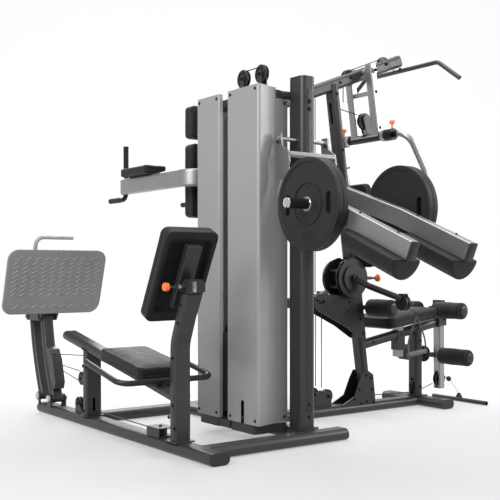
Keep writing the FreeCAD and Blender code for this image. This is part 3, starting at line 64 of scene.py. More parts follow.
# ---------------------------------------------------------------- materials
def material(name, base, metallic=0.0, rough=0.45, vary=0.10, grain=None, bump=0.1, dist=0.0004,
             spot=6.0, rough_vary=0.12, coat=0.0, sheen=0.0, flake=0.0, masks=(), spec=0.5):
    """Procedural finish. grain is (kind, scale); masks are (colour, rough, metallic, low, high) boxes in row metres."""
    m = bpy.data.materials.new(name)
    m.use_nodes = True
    nt = m.node_tree
    N, L = nt.nodes, nt.links
    b = N["Principled BSDF"]
    b.inputs["Metallic"].default_value = metallic
    b.inputs["Roughness"].default_value = rough
    b.inputs["Coat Weight"].default_value = coat
    b.inputs["Coat Roughness"].default_value = 0.25
    b.inputs["Sheen Weight"].default_value = sheen
    b.inputs["Specular IOR Level"].default_value = spec
    tc = N.new("ShaderNodeTexCoord")
    big = N.new("ShaderNodeTexNoise")
    big.inputs["Scale"].default_value = spot
    big.inputs["Detail"].default_value = 6
    big.inputs["Roughness"].default_value = 0.66
    L.new(tc.outputs["Object"], big.inputs["Vector"])
    ramp = N.new("ShaderNodeValToRGB")
    base = lin(base) if isinstance(base, str) else base
    ramp.color_ramp.elements[0].position = 0.28
    ramp.color_ramp.elements[1].position = 0.74
    ramp.color_ramp.elements[0].color = tuple(c * (1 - vary) for c in base[:3]) + (1,)
    ramp.color_ramp.elements[1].color = tuple(min(1, c * (1 + vary)) for c in base[:3]) + (1,)
    L.new(big.outputs["Fac"], ramp.inputs["Fac"])
    col = ramp.outputs["Color"]
    if flake:
        v = N.new("ShaderNodeTexVoronoi")
        v.inputs["Scale"].default_value = 1900
        L.new(tc.outputs["Object"], v.inputs["Vector"])
        mx = N.new("ShaderNodeMix")
        mx.data_type = "RGBA"
        mx.blend_type = "OVERLAY"
        mx.inputs["Factor"].default_value = flake
        L.new(col, mx.inputs["A"])
        L.new(v.outputs["Color"], mx.inputs["B"])
        bw = N.new("ShaderNodeHueSaturation")
        bw.inputs["Saturation"].default_value = 0.0
        L.new(mx.outputs["Result"], bw.inputs["Color"])
        col = bw.outputs["Color"]
    rr = N.new("ShaderNodeMapRange")
    rr.inputs["To Min"].default_value = max(0.02, rough - rough_vary)
    rr.inputs["To Max"].default_value = min(1, rough + rough_vary)
    smear = N.new("ShaderNodeTexNoise")
    smear.inputs["Scale"].default_value = spot * 3.1
    smear.inputs["Detail"].default_value = 8
    L.new(tc.outputs["Object"], smear.inputs["Vector"])
    L.new(smear.outputs["Fac"], rr.inputs["Value"])
    rough_out = rr.outputs["Result"]
    if grain:
        kind, scale = grain
        if kind == "leather":
            g = N.new("ShaderNodeTexVoronoi")
            g.feature = "DISTANCE_TO_EDGE"
            g.inputs["Scale"].default_value = scale
            g2 = N.new("ShaderNodeTexNoise")
            g2.inputs["Scale"].default_value = scale * 0.35
            g2.inputs["Detail"].default_value = 5
            L.new(tc.outputs["Object"], g2.inputs["Vector"])
            va = N.new("ShaderNodeVectorMath")
            va.operation = "MULTIPLY_ADD"
            va.inputs[1].default_value = (0.0022, 0.0022, 0.0022)
            L.new(g2.outputs["Color"], va.inputs[0])
            L.new(tc.outputs["Object"], va.inputs[2])
            L.new(va.outputs["Vector"], g.inputs["Vector"])
            cr = N.new("ShaderNodeMapRange")
            cr.inputs["From Max"].default_value = 0.16
            L.new(g.outputs["Distance"], cr.inputs["Value"])
            ho = cr.outputs["Result"]
        else:
            g = N.new("ShaderNodeTexNoise")
            g.inputs["Scale"].default_value = scale
            g.inputs["Detail"].default_value = 4 if kind == "peel" else 9
            L.new(tc.outputs["Object"], g.inputs["Vector"])
            ho = g.outputs["Fac"]
            if kind == "brushed":
                mp = N.new("ShaderNodeMapping")
                mp.inputs["Scale"].default_value = (1.0, 1.0, 0.03)
                L.new(tc.outputs["Object"], mp.inputs["Vector"])
                L.new(mp.outputs["Vector"], g.inputs["Vector"])
        bp = N.new("ShaderNodeBump")
        bp.inputs["Strength"].default_value = bump
        bp.inputs["Distance"].default_value = dist
        L.new(ho, bp.inputs["Height"])
        L.new(bp.outputs["Normal"], b.inputs["Normal"])
    for i, (mc, mr, mm, lo, hi) in enumerate(masks):
        sep = N.new("ShaderNodeSeparateXYZ")
        L.new(tc.outputs["Object"], sep.inputs["Vector"])
        prev = None
        for k, ax in enumerate("XYZ"):
            for op, val in (("GREATER_THAN", lo[k]), ("LESS_THAN", hi[k])):
                c = N.new("ShaderNodeMath")
                c.operation = op
                c.inputs[1].default_value = val
                L.new(sep.outputs[ax], c.inputs[0])
                if prev is None:
                    prev = c.outputs[0]
                else:
                    mu = N.new("ShaderNodeMath")
                    mu.operation = "MULTIPLY"
                    L.new(prev, mu.inputs[0])
                    L.new(c.outputs[0], mu.inputs[1])
                    prev = mu.outputs[0]
        mx = N.new("ShaderNodeMix")
        mx.data_type = "RGBA"
        L.new(prev, mx.inputs["Factor"])
        L.new(col, mx.inputs["A"])
        tint = N.new("ShaderNodeHueSaturation")
        tint.inputs["Color"].default_value = lin(mc)
        vr = N.new("ShaderNodeMapRange")
        vr.inputs["To Min"].default_value = 0.8
        vr.inputs["To Max"].default_value = 1.2
        L.new(smear.outputs["Fac"], vr.inputs["Value"])
        L.new(vr.outputs["Result"], tint.inputs["Value"])
        L.new(tint.outputs["Color"], mx.inputs["B"])
        col = mx.outputs["Result"]
        mt = N.new("ShaderNodeMapRange")
        mt.inputs["To Min"].default_value = metallic
        mt.inputs["To Max"].default_value = mm
        L.new(prev, mt.inputs["Value"])
        L.new(mt.outputs["Result"], b.inputs["Metallic"])
        m2 = N.new("ShaderNodeMix")
        L.new(prev, m2.inputs["Factor"])
        L.new(rough_out, m2.inputs["A"])
        m2.inputs["B"].default_value = mr
        rough_out = m2.outputs["Result"]
    L.new(rough_out, b.inputs["Roughness"])
    L.new(col, b.inputs["Base Color"])
    return m


DARK = dict(metallic=0.10, rough=0.40, grain=("peel", 420), bump=0.10, dist=0.0005, flake=0.12, vary=0.10, coat=0.06, spec=0.42)
SILV = dict(metallic=0.80, rough=0.34, grain=("peel", 520), bump=0.06, dist=0.0004, flake=0.22, vary=0.05, coat=0.05, rough_vary=0.06)
M = {
    "dark": material("paint_charcoal", "#2c2d2f", **DARK),
    "silver": material("paint_silver", "#8c8d90", **SILV),
    "shroud": material("paint_shroud", "#8f9092", metallic=0.30, rough=0.46, grain=("peel", 380), bump=0.07, dist=0.0005,
                       flake=0.16, vary=0.035, rough_vary=0.06, spot=2.5),
    "grey": material("paint_footplate", "#818284", metallic=0.25, rough=0.48, grain=("peel", 500), bump=0.10, dist=0.0005,
                     flake=0.15, vary=0.05),
    "steel": material("polished_steel", "#d4d6d8", metallic=1.0, rough=0.16, grain=("brushed", 900), bump=0.04, dist=0.0002,
                      vary=0.05, rough_vary=0.07),
    "bolt": material("black_oxide_bolt", "#17181a", metallic=0.5, rough=0.36, grain=("fine", 700), bump=0.12, dist=0.0003, vary=0.15),
    # near-black finish for the moulded numbers; it also colours the plates in the disc slots, which are painted shade
    "mark_and_slot_shade": material("moulded_mark_and_slot_shade", "#0c0d0e", rough=0.5, grain=("fine", 480), bump=0.2, dist=0.0004, vary=0.2, spot=20),
    "gripbar": material("grip_tube", "#56575a", rough=0.55, grain=("fine", 700), bump=0.35, dist=0.0004, vary=0.12, spot=30, spec=0.3),
    "cap": material("sleeve_end_cap", "#d9dadc", metallic=0.25, rough=0.38, grain=("fine", 600), bump=0.06, dist=0.0002, vary=0.04),
    "black": material("paint_black", "#1b1c1e", **DARK),
    "zinc": material("zinc_bolt", "#a9abad", metallic=0.9, rough=0.30, grain=("fine", 700), bump=0.12, dist=0.0003, vary=0.12),
    "sleeve": material("sleeve_steel", "#303133", metallic=0.7, rough=0.33, grain=("brushed", 700), bump=0.08, dist=0.0003, vary=0.12),
    "iron": material("stack_iron", "#1d1e20", metallic=0.35, rough=0.55, grain=("fine", 260), bump=0.25, dist=0.0008, vary=0.2),
    "rubber": material("disc_rubber", "#1d1e20", spec=0.32, rough=0.58, grain=("fine", 480), bump=0.22, dist=0.0006, vary=0.10, spot=9),
    "foam": material("roller_foam", "#141517", spec=0.25, rough=0.74, grain=("fine", 620), bump=0.5, dist=0.0009, vary=0.16, spot=22, sheen=0.15),
    "vinyl": material("pad_vinyl", "#161719", spec=0.22, rough=0.55, grain=("leather", 620), bump=0.32, dist=0.0006, vary=0.12, spot=7, sheen=0.06),
    "vinyl_edge": material("pad_piping", "#26272a", rough=0.5, grain=("leather", 700), bump=0.3, dist=0.0005, vary=0.14),
    "thread": material("pad_thread", "#4c4d50", rough=0.7, grain=("fine", 1400), bump=0.4, dist=0.0003, vary=0.2, spot=60),
    "plastic": material("black_plastic", "#18191b", rough=0.42, grain=("fine", 800), bump=0.14, dist=0.0004, vary=0.14, spot=12),
    "orange": material("orange_knob", "#ee6a1e", rough=0.30, grain=("fine", 500), bump=0.05, dist=0.0003, vary=0.08, coat=0.4, spot=25),
    "cable": material("cable_sheath", "#131416", rough=0.38, grain=("fine", 900), bump=0.1, dist=0.0003, vary=0.18, spot=30),
    "hole": material("hole_shadow", "#08080a", rough=0.9, grain=("fine", 300), bump=0.1, dist=0.0003, vary=0.3),
    "web": material("strap_webbing", "#47484b", rough=0.8, grain=("fine", 1500), bump=0.7, dist=0.0006, vary=0.2, spot=90),
}
bp_z = 1784 + (2262 - 1784) / 1226.0 * 0


def box_row(lo, hi):
    return tuple(P(*lo)), tuple(P(*hi))


a_, b_ = box_row((870, ROW - 13, 1785), (990, ROW + 13, 1900))
M["press"] = material("paint_press_frame", "#929396", masks=[("#18191b", 0.42, 0.0, a_, b_),
                      ("#26272a", 0.42, 0.1, *box_row((920, ROW - 210, 1704), (990, ROW + 210, 1734.6))),
                      ("#26272a", 0.42, 0.1, *box_row((920, ROW - 210, 1700), (990, ROW - 125, 1790))),
                      ("#26272a", 0.42, 0.1, *box_row((920, ROW + 125, 1700), (990, ROW + 210, 1790))),
                      ("#26272a", 0.42, 0.1, *box_row((880, ROW - 24, 1740), (1000, ROW + 24, 1890)))], **SILV)
M["legext"] = material("paint_leg_extension", "#929396", masks=[("#18191b", 0.42, 0.0, *box_row((1575, ROW - 12.2, 98), (1690, ROW + 12.2, 210))),
                       ("#2a2b2d", 0.4, 0.3, *box_row((1500, 180, 296), (1600, 830, 348)))], **SILV)
M["vkr"] = material("paint_dip_arm", "#8e8f92", masks=[("#1f2022", 0.5, 0.0, *box_row((-285, 1440, 1486.5), (-239, 1480, 1700))),
                    ("#1f2022", 0.5, 0.0, *box_row((-285, 1400, 1330), (-239, 1700, 1381))),
                    ("#1f2022", 0.5, 0.0, *box_row((277, 1440, 1486.5), (323, 1480, 1700))),
                    ("#1f2022", 0.5, 0.0, *box_row((277, 1400, 1330), (323, 1700, 1381)))], **SILV)
M["lpslide"] = material("paint_back_slide", "#26272a", masks=[("#d8d9db", 0.25, 0.9, *box_row((XC - 26, -110.5, 792), (XC + 26, -40, 844)))], **DARK)
M["fp_frame"] = material("paint_foot_carriage", "#2e2f31", masks=[("#9a9b9e", 0.35, 0.7, *box_row((-900, 1440, 940), (-560, 1541, 1200))),
                         ("#232426", 0.35, 0.5, *box_row((XC - 70, 1600, 560), (XC - 57.5, 1900, 650))),
                         ("#232426", 0.35, 0.5, *box_row((XC + 57.5, 1600, 560), (XC + 70, 1900, 650)))], **DARK)
M["brackets"] = material("paint_brackets", "#232427", masks=[("#d0d2d4", 0.22, 0.95, *box_row((XC - 62, 1480, 60), (XC - 52.5, 1730, 140))),
                         ("#d0d2d4", 0.22, 0.95, *box_row((XC + 52.5, 1480, 60), (XC + 62, 1730, 140)))], **DARK)

M["handles"] = material("paint_press_handles", "#929396", masks=[("#1f2022", 0.45, 0.0, *box_row((900, ROW - 275, 1690), (1000, ROW - 172, 1780))),
                        ("#1f2022", 0.45, 0.0, *box_row((900, ROW + 172, 1690), (1000, ROW + 275, 1780)))], **SILV)
M["pin"] = material("back_pin_finish", "#ee6a1e", rough=0.30, grain=("fine", 500), bump=0.05, dist=0.0003, vary=0.08, coat=0.4, spot=25,
                    masks=[("#303133", 0.3, 0.8, *box_row((XC - 129.5, -60, 780), (XC, 0, 860)))])
NODE_MAT = {}
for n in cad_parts:
    NODE_MAT[n] = "dark"
for k, v in {
    "near_shroud": "shroud", "far_shroud": "shroud", "vkr_arm_near": "vkr", "vkr_arm_far": "vkr",
    "press_frame": "press", "press_handles": "handles", "leg_extension_arm": "legext", "seat_post": "silver",
    "squat_near_arm": "silver", "squat_far_arm": "silver", "rods_and_shafts": "steel", "plate_sleeves": "sleeve",
    "rail_end_caps": "plastic", "frame_pulleys": "plastic", "top_pulley_near": "plastic", "top_pulley_far": "plastic",
    "press_knobs": "orange", "lp_back_knob": "pin", "footplate": "grey", "footplate_frame": "fp_frame",
    "column_gussets": "black", "cable_arm_near": "black", "cable_arm_far": "black", "lp_side_handles": "black",
    "fixed_weight_plates": "iron", "near_lift_plates": "iron", "far_lift_plates": "iron", "near_discs": "rubber",
    "far_discs": "rubber", "cables": "cable", "lp_back_slide": "lpslide", "pulley_brackets": "brackets",
}.items():
    if k in NODE_MAT:
        NODE_MAT[k] = v
for n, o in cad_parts.items():
    o.data.materials.clear()
    o.data.materials.append(M[NODE_MAT[n]])
    for p in o.data.polygons:
        p.material_index = 0
    wd = o.modifiers.new("weld", "WELD")
    wd.merge_threshold = 0.00002
    bv = o.modifiers.new("edge", "BEVEL")
    bv.width = 0.0009
    bv.segments = 2
    bv.limit_method = "ANGLE"
    bv.angle_limit = math.radians(42)
    bv.use_clamp_overlap = True
    bv.harden_normals = False
    if n in ("cables",):
        o.modifiers.remove(bv)
    es = o.modifiers.new("split", "EDGE_SPLIT")
    es.split_angle = math.radians(30)
    wn = o.modifiers.new("normals", "WEIGHTED_NORMAL")
    wn.mode = "FACE_AREA"
    wn.weight = 80
    for p in o.data.polygons:
        p.use_smooth = True


# ---------------------------------------------------------------- mesh helpers
class Mesh:
    """Collects vertices and faces for one piece."""

    def __init__(self):
        self.v, self.f = [], []

    def add(self, verts, faces, m=None):
        k = len(self.v)
        for p in verts:
            p = Vector(p)
            self.v.append(m @ p if m is not None else p)
        self.f += [tuple(i + k for i in f) for f in faces]

    def lathe(self, prof, m, n=32, closed=True, rad=None):
        """prof is (radius, height) about local Z."""
        vs, fs = [], []
        for (r, z) in prof:
            for i in range(n):
                a = 2 * math.pi * i / n
                q = r if rad is None else rad(r, a, z)
                vs.append((q * math.cos(a), q * math.sin(a), z))
        for j in range(len(prof) - 1):
            for i in range(n):
                i2 = (i + 1) % n
                fs.append((j * n + i, j * n + i2, (j + 1) * n + i2, (j + 1) * n + i))
        if closed:
            fs.append(tuple(reversed(range(n))))
            k = (len(prof) - 1) * n
            fs.append(tuple(range(k, k + n)))
        self.add(vs, fs, m)

    def sweep(self, path, r, n=12, caps=True, flat=1.0):
        """Round bar along smooth points; flat squeezes it into a strap."""
        pts = [Vector(p) for p in path]
        up = Vector((0, 0, 1))
        prev = None
        vs, fs = [], []
        for i, p in enumerate(pts):
            d = (pts[min(i + 1, len(pts) - 1)] - pts[max(i - 1, 0)]).normalized()
            if prev is None:
                u = d.orthogonal().normalized() if abs(d.z) > 0.95 else d.cross(up).normalized()
            else:
                u = (prev - d * prev.dot(d)).normalized()
            prev = u
            w = d.cross(u)
            for k in range(n):
                a = 2 * math.pi * k / n
                vs.append(p + u * (r * math.cos(a)) + w * (r * flat * math.sin(a)))
        for i in range(len(pts) - 1):
            for k in range(n):
                k2 = (k + 1) % n
                fs.append((i * n + k, i * n + k2, (i + 1) * n + k2, (i + 1) * n + k))
        if caps:
            fs.append(tuple(reversed(range(n))))
            q = (len(pts) - 1) * n
            fs.append(tuple(range(q, q + n)))
        self.add(vs, fs)

    def slab(self, lo, hi, m=None, c=0.002):
        """Box with chamfered edges."""
        bm = bmesh.new()
        bmesh.ops.create_cube(bm, size=1)
        for v in bm.verts:
            v.co = Vector([lo[i] + (v.co[i] + 0.5) * (hi[i] - lo[i]) for i in range(3)])
        bmesh.ops.bevel(bm, geom=list(bm.edges), offset=c, segments=2, profile=0.6, affect="EDGES")
        bm.verts.index_update()
        self.add([v.co.copy() for v in bm.verts], [[v.index for v in f.verts] for f in bm.faces], m)
        bm.free()

    def make(self, name, mat, body, slot=None, smooth=35, mods=()):
        me = bpy.data.meshes.new(name)
        me.from_pydata([tuple(v) for v in self.v], [], self.f)
        me.validate()
        bm = bmesh.new()
        bm.from_mesh(me)
        bmesh.ops.recalc_face_normals(bm, faces=bm.faces)
        bm.to_mesh(me)
        bm.free()
        o = bpy.data.objects.new(name, me)
        bpy.context.scene.collection.objects.link(o)
        me.materials.append(M[mat])
        for p in me.polygons:
            p.use_smooth = True
        if smooth:
            me.set_sharp_from_angle(angle=math.radians(smooth))
        if body:
            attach(o, body)
        return o


def axis_m(c, d, spin=0.0):
    """Local Z along d at c."""
    d = Vector(d).normalized()
    q = Vector((0, 0, 1)).rotation_difference(d)
    return Matrix.Translation(c) @ q.to_matrix().to_4x4() @ Matrix.Rotation(spin, 4, "Z")


# ---------------------------------------------------------------- upholstery
def lines(n, edge=0.80, k=5):
    """Grid lines from -1 to 1, closer together near the ends."""
    mid = [-edge + 2 * edge * i / n for i in range(n + 1)]
    end = [edge + (1 - edge) * (i + 1) / k for i in range(k)]
    return [-e for e in reversed(end)] + mid + end


def pad(name, hx, hy, h, place, body, rc=0.03, re=0.014, crown=0.006, pull=0.002, seams=((0.5, 0.0),), back=None,
        cap=0.006, pressure=4.0, stitch=True, wrinkle=0.0008, replaces=(), panel_seams=(), nx=16, ny=22, top_inset=0.020):
    """Crowned, seamed cushion standing on local Z=0. seams are (height share, -) round the side; panel_seams cross the top."""
    U, Vv = lines(nx), lines(ny)
    nu, nv = len(U), len(Vv)
    vs, fs, pin = [], [], set()
    inner = max(hx, hy)

    def outline(u, v, inset):
        t = max(abs(u), abs(v), 1e-9)
        bx, by = hx * u / t, hy * v / t
        qx = max(-(hx - rc), min(hx - rc, bx))
        qy = max(-(hy - rc), min(hy - rc, by))
        d = Vector((bx - qx, by - qy, 0))
        if d.length < 1e-9:
            d = Vector((math.copysign(1, u), 0, 0)) if abs(u) >= abs(v) else Vector((0, math.copysign(1, v), 0))
        n = d.normalized()
        along = (v / t if abs(u) >= abs(v) else u / t)
        inset = inset + pull * (1 - along * along)
        return Vector((qx, qy, 0)) + n * (rc - inset), n

    def ztop(u, v):
        t = max(abs(u), abs(v))
        z = h - re * 0.12 + crown * (1 - u * u) * (1 - v * v)
        for ax, pos, depth, width in panel_seams:
            q = (v * hy if ax == "y" else u * hx) - pos
            z -= depth * math.exp(-(q / width) ** 2)
        return z
    idx = {}
    ti = top_inset
    for j, v in enumerate(Vv):
        for i, u in enumerate(U):
            t = max(abs(u), abs(v))
            o, _ = outline(u, v, ti)
            p = o * t if t > 0 else Vector((0, 0, 0))
            p.z = ztop(u, v)
            idx[("t", i, j)] = len(vs)
            vs.append(p)
    ring = [(i, 0) for i in range(nu)] + [(nu - 1, j) for j in range(1, nv)] + \
           [(i, nv - 1) for i in range(nu - 2, -1, -1)] + [(0, j) for j in range(nv - 2, 0, -1)]
    for j in range(nv - 1):
        for i in range(nu - 1):
            fs.append((idx[("t", i, j)], idx[("t", i + 1, j)], idx[("t", i + 1, j + 1)], idx[("t", i, j + 1)]))
    prof = []
    prof.append((ti - 0.0016, h - re * 0.12 - 0.0022, True))
    prof.append((ti - 0.0034, h - re * 0.12 - 0.0004, False))
    for k in range(0, 6):
        a = math.radians(15 + 75 * k / 5)
        prof.append((re * (1 - math.sin(a)) * min(1, (ti - 0.004) / re), h - re + re * math.cos(a) * 0.86, False))
    zs = h - re
    zb = 0.010
    for s, _ in seams:
        z = zb + (zs - zb) * s
        prof += [(0.0, z + 0.004, False), (0.0006, z + 0.0016, False), (0.0028, z, True), (0.0006, z - 0.0016, False), (0.0, z - 0.004, False)]
    prof.append((0.0, zb, False))
    for k in range(1, 4):
        a = math.radians(30 * k)
        prof.append((0.009 * (1 - math.cos(a)), zb - zb * math.sin(a), k == 3))
    prev = [idx[("t", i, j)] for i, j in ring]
    n = len(ring)
    for inset, z, pinned in prof:
        cur = []
        for i, j in ring:
            o, _ = outline(U[i], Vv[j], inset)
            cur.append(len(vs))
            if pinned:
                pin.add(len(vs))
            vs.append(Vector((o.x, o.y, z)))
        for k in range(n):
            fs.append((prev[k], cur[k], cur[(k + 1) % n], prev[(k + 1) % n]))
        prev = cur
    base = prof[-1][0]
    bot = {}
    for k, (i, j) in enumerate(ring):
        bot[(i, j)] = prev[k]
    for j in range(nv):
        for i in range(nu):
            if (i, j) in bot:
                continue
            u, v = U[i], Vv[j]
            t = max(abs(u), abs(v))
            o, _ = outline(u, v, base)
            p = o * t if t > 0 else Vector((0, 0, 0))
            p.z = 0.0 if back is None else back(t, u, v)
            bot[(i, j)] = len(vs)
            pin.add(len(vs))
            vs.append(p)
    for j in range(nv - 1):
        for i in range(nu - 1):
            fs.append((bot[(i, j)], bot[(i, j + 1)], bot[(i + 1, j + 1)], bot[(i + 1, j)]))
    rnd = random.Random(name)
    ph = [rnd.uniform(0, 6.28) for _ in range(6)]
    for k, p in enumerate(vs):
        if k in pin:
            continue
        w = math.sin(p.x * 61 + ph[0]) * math.sin(p.y * 47 + ph[1]) + 0.5 * math.sin(p.x * 133 + p.y * 91 + ph[2])
        p.z += wrinkle * w * (1 if p.z > h * 0.5 else 0.2)
    me = bpy.data.meshes.new(name)
    me.from_pydata([tuple(v) for v in vs], [], fs)
    me.validate()
    o = bpy.data.objects.new(name, me)
    bpy.context.scene.collection.objects.link(o)
    if cap > 0:
        rest = [v.co.copy() for v in me.vertices]
        vg = o.vertex_groups.new(name="pin")
        vg.add(list(pin), 1.0, "REPLACE")
        md = o.modifiers.new("cloth", "CLOTH")
        st = md.settings
        st.quality = 4
        st.mass = 0.35
        st.tension_stiffness = 22
        st.compression_stiffness = 12
        st.bending_stiffness = 1.2
        st.use_pressure = True
        st.uniform_pressure_force = pressure
        st.effector_weights.gravity = 0.0
        st.vertex_group_mass = "pin"
        md.collision_settings.use_collision = False
        md.collision_settings.use_self_collision = False
        md.point_cache.frame_start = 1
        md.point_cache.frame_end = 16
        sc = bpy.context.scene
        for f in range(1, 15):
            sc.frame_set(f)
        dg = bpy.context.evaluated_depsgraph_get()
        ev = o.evaluated_get(dg).to_mesh()
        got = [v.co.copy() for v in ev.vertices]
        o.evaluated_get(dg).to_mesh_clear()
        o.modifiers.remove(md)
        sc.frame_set(1)
        for v, r, g in zip(me.vertices, rest, got):
            d = g - r
            if d.length > cap:
                d = d.normalized() * cap
            v.co = r + d
        for v in me.vertices:
            if v.co.z < 0 and back is None:
                v.co.z = 0
    me.transform(place)
    if place.determinant() < 0:
        me.flip_normals()
    me.materials.append(M["vinyl"])
    for p in me.polygons:
        p.use_smooth = True
    sub = o.modifiers.new("soft", "SUBSURF")
    sub.levels = sub.render_levels = 1
    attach(o, body)
    if replaces:
        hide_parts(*replaces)
    if stitch:
        ms = Mesh()
        zt = h - re * 0.12 - 0.0004
        loop = []
        for i, j in ring:
            q, _ = outline(U[i], Vv[j], ti + 0.0045)
            loop.append(Vector((q.x, q.y, zt + 0.0004)))
        loop.append(loop[0])
        acc, nxt, on = 0.0, 0.0, True
        for a, b in zip(loop, loop[1:]):
            d = b - a
            ln = d.length
            if ln < 1e-6:
                continue
            t = nxt
            while t < ln:
                c = a + d * (t / ln)
                dd = d.normalized()
                s = dd.cross(Vector((0, 0, 1)))
                e = 0.0019
                vv = []
                for q in (-e, e):
                    for sx, sz in ((-0.00045, 0), (0, 0.0009), (0.00045, 0)):
                        vv.append(c + dd * q + s * sx + Vector((0, 0, sz if abs(q) < e * 2 else 0)))
                ms.add(vv, [(0, 1, 4, 3), (1, 2, 5, 4), (0, 3, 5, 2), (0, 2, 1), (3, 4, 5)], place)
                t += 0.0062
            nxt = t - ln
        so = ms.make(name + "_stitches", "thread", body, smooth=0)
    return o


XAX = Vector((1, 0, 0))


def basis(x, y, z, c):
    m = Matrix((x, y, z)).transposed().to_4x4()
    return Matrix.Translation(c) @ m


RX = lambda d: Matrix.Rotation(math.radians(d), 4, "X")
RY = lambda d: Matrix.Rotation(math.radians(d), 4, "Y")
T = Matrix.Translation

# leg press seat
pad("lp_seat_cushion", 0.143, 0.226, 0.070, T(P(XC, 222, 344.4)) @ RX(math.degrees(math.atan(0.16))) @ T((0, 0.226, 0)),
    "frame", rc=0.034, re=0.014, crown=0.004, seams=((0.42, 0),), replaces=("lp_seat_pad",))
# leg press back rest with a hollow back
TILT = math.degrees(math.atan2(192, 382))


def hollow(t, u, v):
    e = max(abs(u), abs(v))
    s = max(0.0, min(1.0, (0.86 - e) / 0.10))
    return 0.040 * s * s * (3 - 2 * s)


FACE = Matrix(((1, 0, 0, 0), (0, 0, 1, 0), (0, -1, 0, 0), (0, 0, 0, 1)))
pad("lp_back_cushion", 0.150, 0.245, 0.075, T(P(XC, 116, 893)) @ RX(TILT) @ T((0, -0.075, 0)) @ FACE,
    "lp_back_rest", rc=0.040, re=0.016, crown=0.004, seams=((0.55, 0),), back=hollow, replaces=("lp_back_pad",))
# station seat and back
pad("station_seat_cushion", 0.225, 0.182, 0.070, T(P(1215, ROW, 557)) @ RY(-math.degrees(math.atan(0.13))),
    "seat", rc=0.045, re=0.016, crown=0.004, seams=((0.45, 0),), replaces=("seat_pad",), nx=22, ny=16)
col_x = lambda z: 938.0 + (651.0 - 938.0) * (z - 60.0) / 1980.0
pad("station_back_cushion", 0.140, 0.262, 0.062, T(P(col_x(1170) + 62, ROW, 1170)) @ RY(-math.degrees(math.atan(287 / 1980))) @
    basis((0, 1, 0), (0, 0, 1), (1, 0, 0), (0, 0, 0)), "frame", rc=0.045, re=0.016, crown=0.004, replaces=("station_back_pad",))
# knee raise pads
front = lambda c: basis((-1, 0, 0), (0, 0, 1), (0, 1, 0), c)
pad("vkr_head_cushion", 0.176, 0.0965, 0.092, front(P(4, 812, 1778.5)), "frame", rc=0.026, re=0.020, crown=0.002,
    pull=0.001, seams=((0.40, 0),), nx=20, ny=10, replaces=("vkr_pads",), cap=0.004)
pad("vkr_back_cushion", 0.176, 0.220, 0.092, front(P(4, 812, 1430)), "frame", rc=0.030, re=0.020, crown=0.003,
    pull=0.001, seams=((0.40, 0),), nx=18, ny=22, cap=0.005)
for q, x in (("near", -262), ("far", 300)):
    pad("vkr_elbow_cushion_" + q, 0.077, 0.162, 0.052, T(P(x, 1238, 1486)), "frame", rc=0.020, re=0.013, crown=0.003,
        seams=((0.4, 0),), nx=10, ny=18, cap=0.004)


# shoulder pads: half round bolsters under the lever beams
def beam_line(y):
    return 1206 + 0.337 * (y + 528) if y > -528 else 1206 + 0.404 * (y + 528)


def bolster(name, sx, replaces=()):
    mid = 189.0 * sx
    c1 = Vector((mid, -528, beam_line(-528) - 44 * 1.07))
    c2 = Vector((mid, -962, beam_line(-972) - 44 * 1.085))
    d = (c2 - c1).normalized()
    up = Vector((0, -d.z, d.y))
    if up.z < 0:
        up = -up
    a = c2 - up * 44.6 - d * 8
    ln = 358.0
    r, dp = 85.0, 98.0
    n, ms = 40, []
    prof = []
    for k in range(n):
        t = k / n
        if t < 0.36:
            q = t / 0.36
            prof.append((-r + 2 * r * q, 0.0))
        else:
            q = (t - 0.36) / 0.64
            an = math.pi * q
            prof.append((r * math.cos(an), -dp * math.sin(an) ** 0.92))
    stations = [(0, 0.0), (0, 0.55), (0, 0.86), (1.5, 0.945), (5, 0.985), (10, 1.0), (16, 1.0), (18, 0.982), (20, 0.982), (22, 1.0)]
    m = 16
    for k in range(1, m):
        stations.append((22 + (ln - 44) * k / m, 1.0 + 0.008 * math.sin(math.pi * k / m)))
    stations += [(ln - 22, 1.0), (ln - 20, 0.982), (ln - 18, 0.982), (ln - 16, 1.0), (ln - 10, 1.0), (ln - 5, 0.985),
                 (ln - 1.5, 0.945), (ln, 0.86), (ln, 0.55), (ln, 0.0)]
    g = Mesh()
    vs, fs = [], []
    cx, cz = 0.0, -38.0
    for s, k in stations:
        for x, z in prof:
            xx = cx + (x - cx) * max(k, 0.001)
            zz = cz + (z - cz) * max(k, 0.001)
            if z == 0.0 and k > 0.9:
                zz = min(zz, 0)
            p = a - d * s + up * zz + Vector((xx, 0, 0))
            vs.append(P(*p))
    for j in range(len(stations) - 1):
        for i in range(n):
            fs.append((j * n + i, (j + 1) * n + i, (j + 1) * n + (i + 1) % n, j * n + (i + 1) % n))
    g.add(vs, fs)
    o = g.make(name, "vinyl", "squat_lever", smooth=0)
    bm = bmesh.new()
    bm.from_mesh(o.data)
    bmesh.ops.remove_doubles(bm, verts=bm.verts, dist=0.0003)
    bmesh.ops.recalc_face_normals(bm, faces=bm.faces)
    bm.to_mesh(o.data)
    bm.free()
    sub = o.modifiers.new("soft", "SUBSURF")
    sub.levels = sub.render_levels = 1
    if replaces:
        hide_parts(*replaces)
    # carrier plate and its screws between beam and bolster
    e = Mesh()
    mt = Matrix((Vector((1, 0, 0)), d, up)).transposed().to_4x4()
    mt = T(P(*(a - d * (ln / 2)))) @ mt
    e.slab((-0.020, -0.150, -0.0005), (0.020, 0.150, 0.0035), mt, 0.001)
    e.make(name + "_carrier", "dark", "squat_lever")
    # end cap of the lever beam
    c = Mesh()
    mt2 = T(P(*(c2 + d * 0.2))) @ Matrix((Vector((1, 0, 0)), up, d)).transposed().to_4x4()
    c.slab((-0.0252, -0.0442, 0.0), (0.0252, 0.0442, 0.0075), mt2, 0.003)
    c.slab((-0.0180, -0.0360, 0.006), (0.0180, 0.0360, 0.0092), mt2, 0.002)
    c.make(name + "_beam_cap", "plastic", "squat_lever")


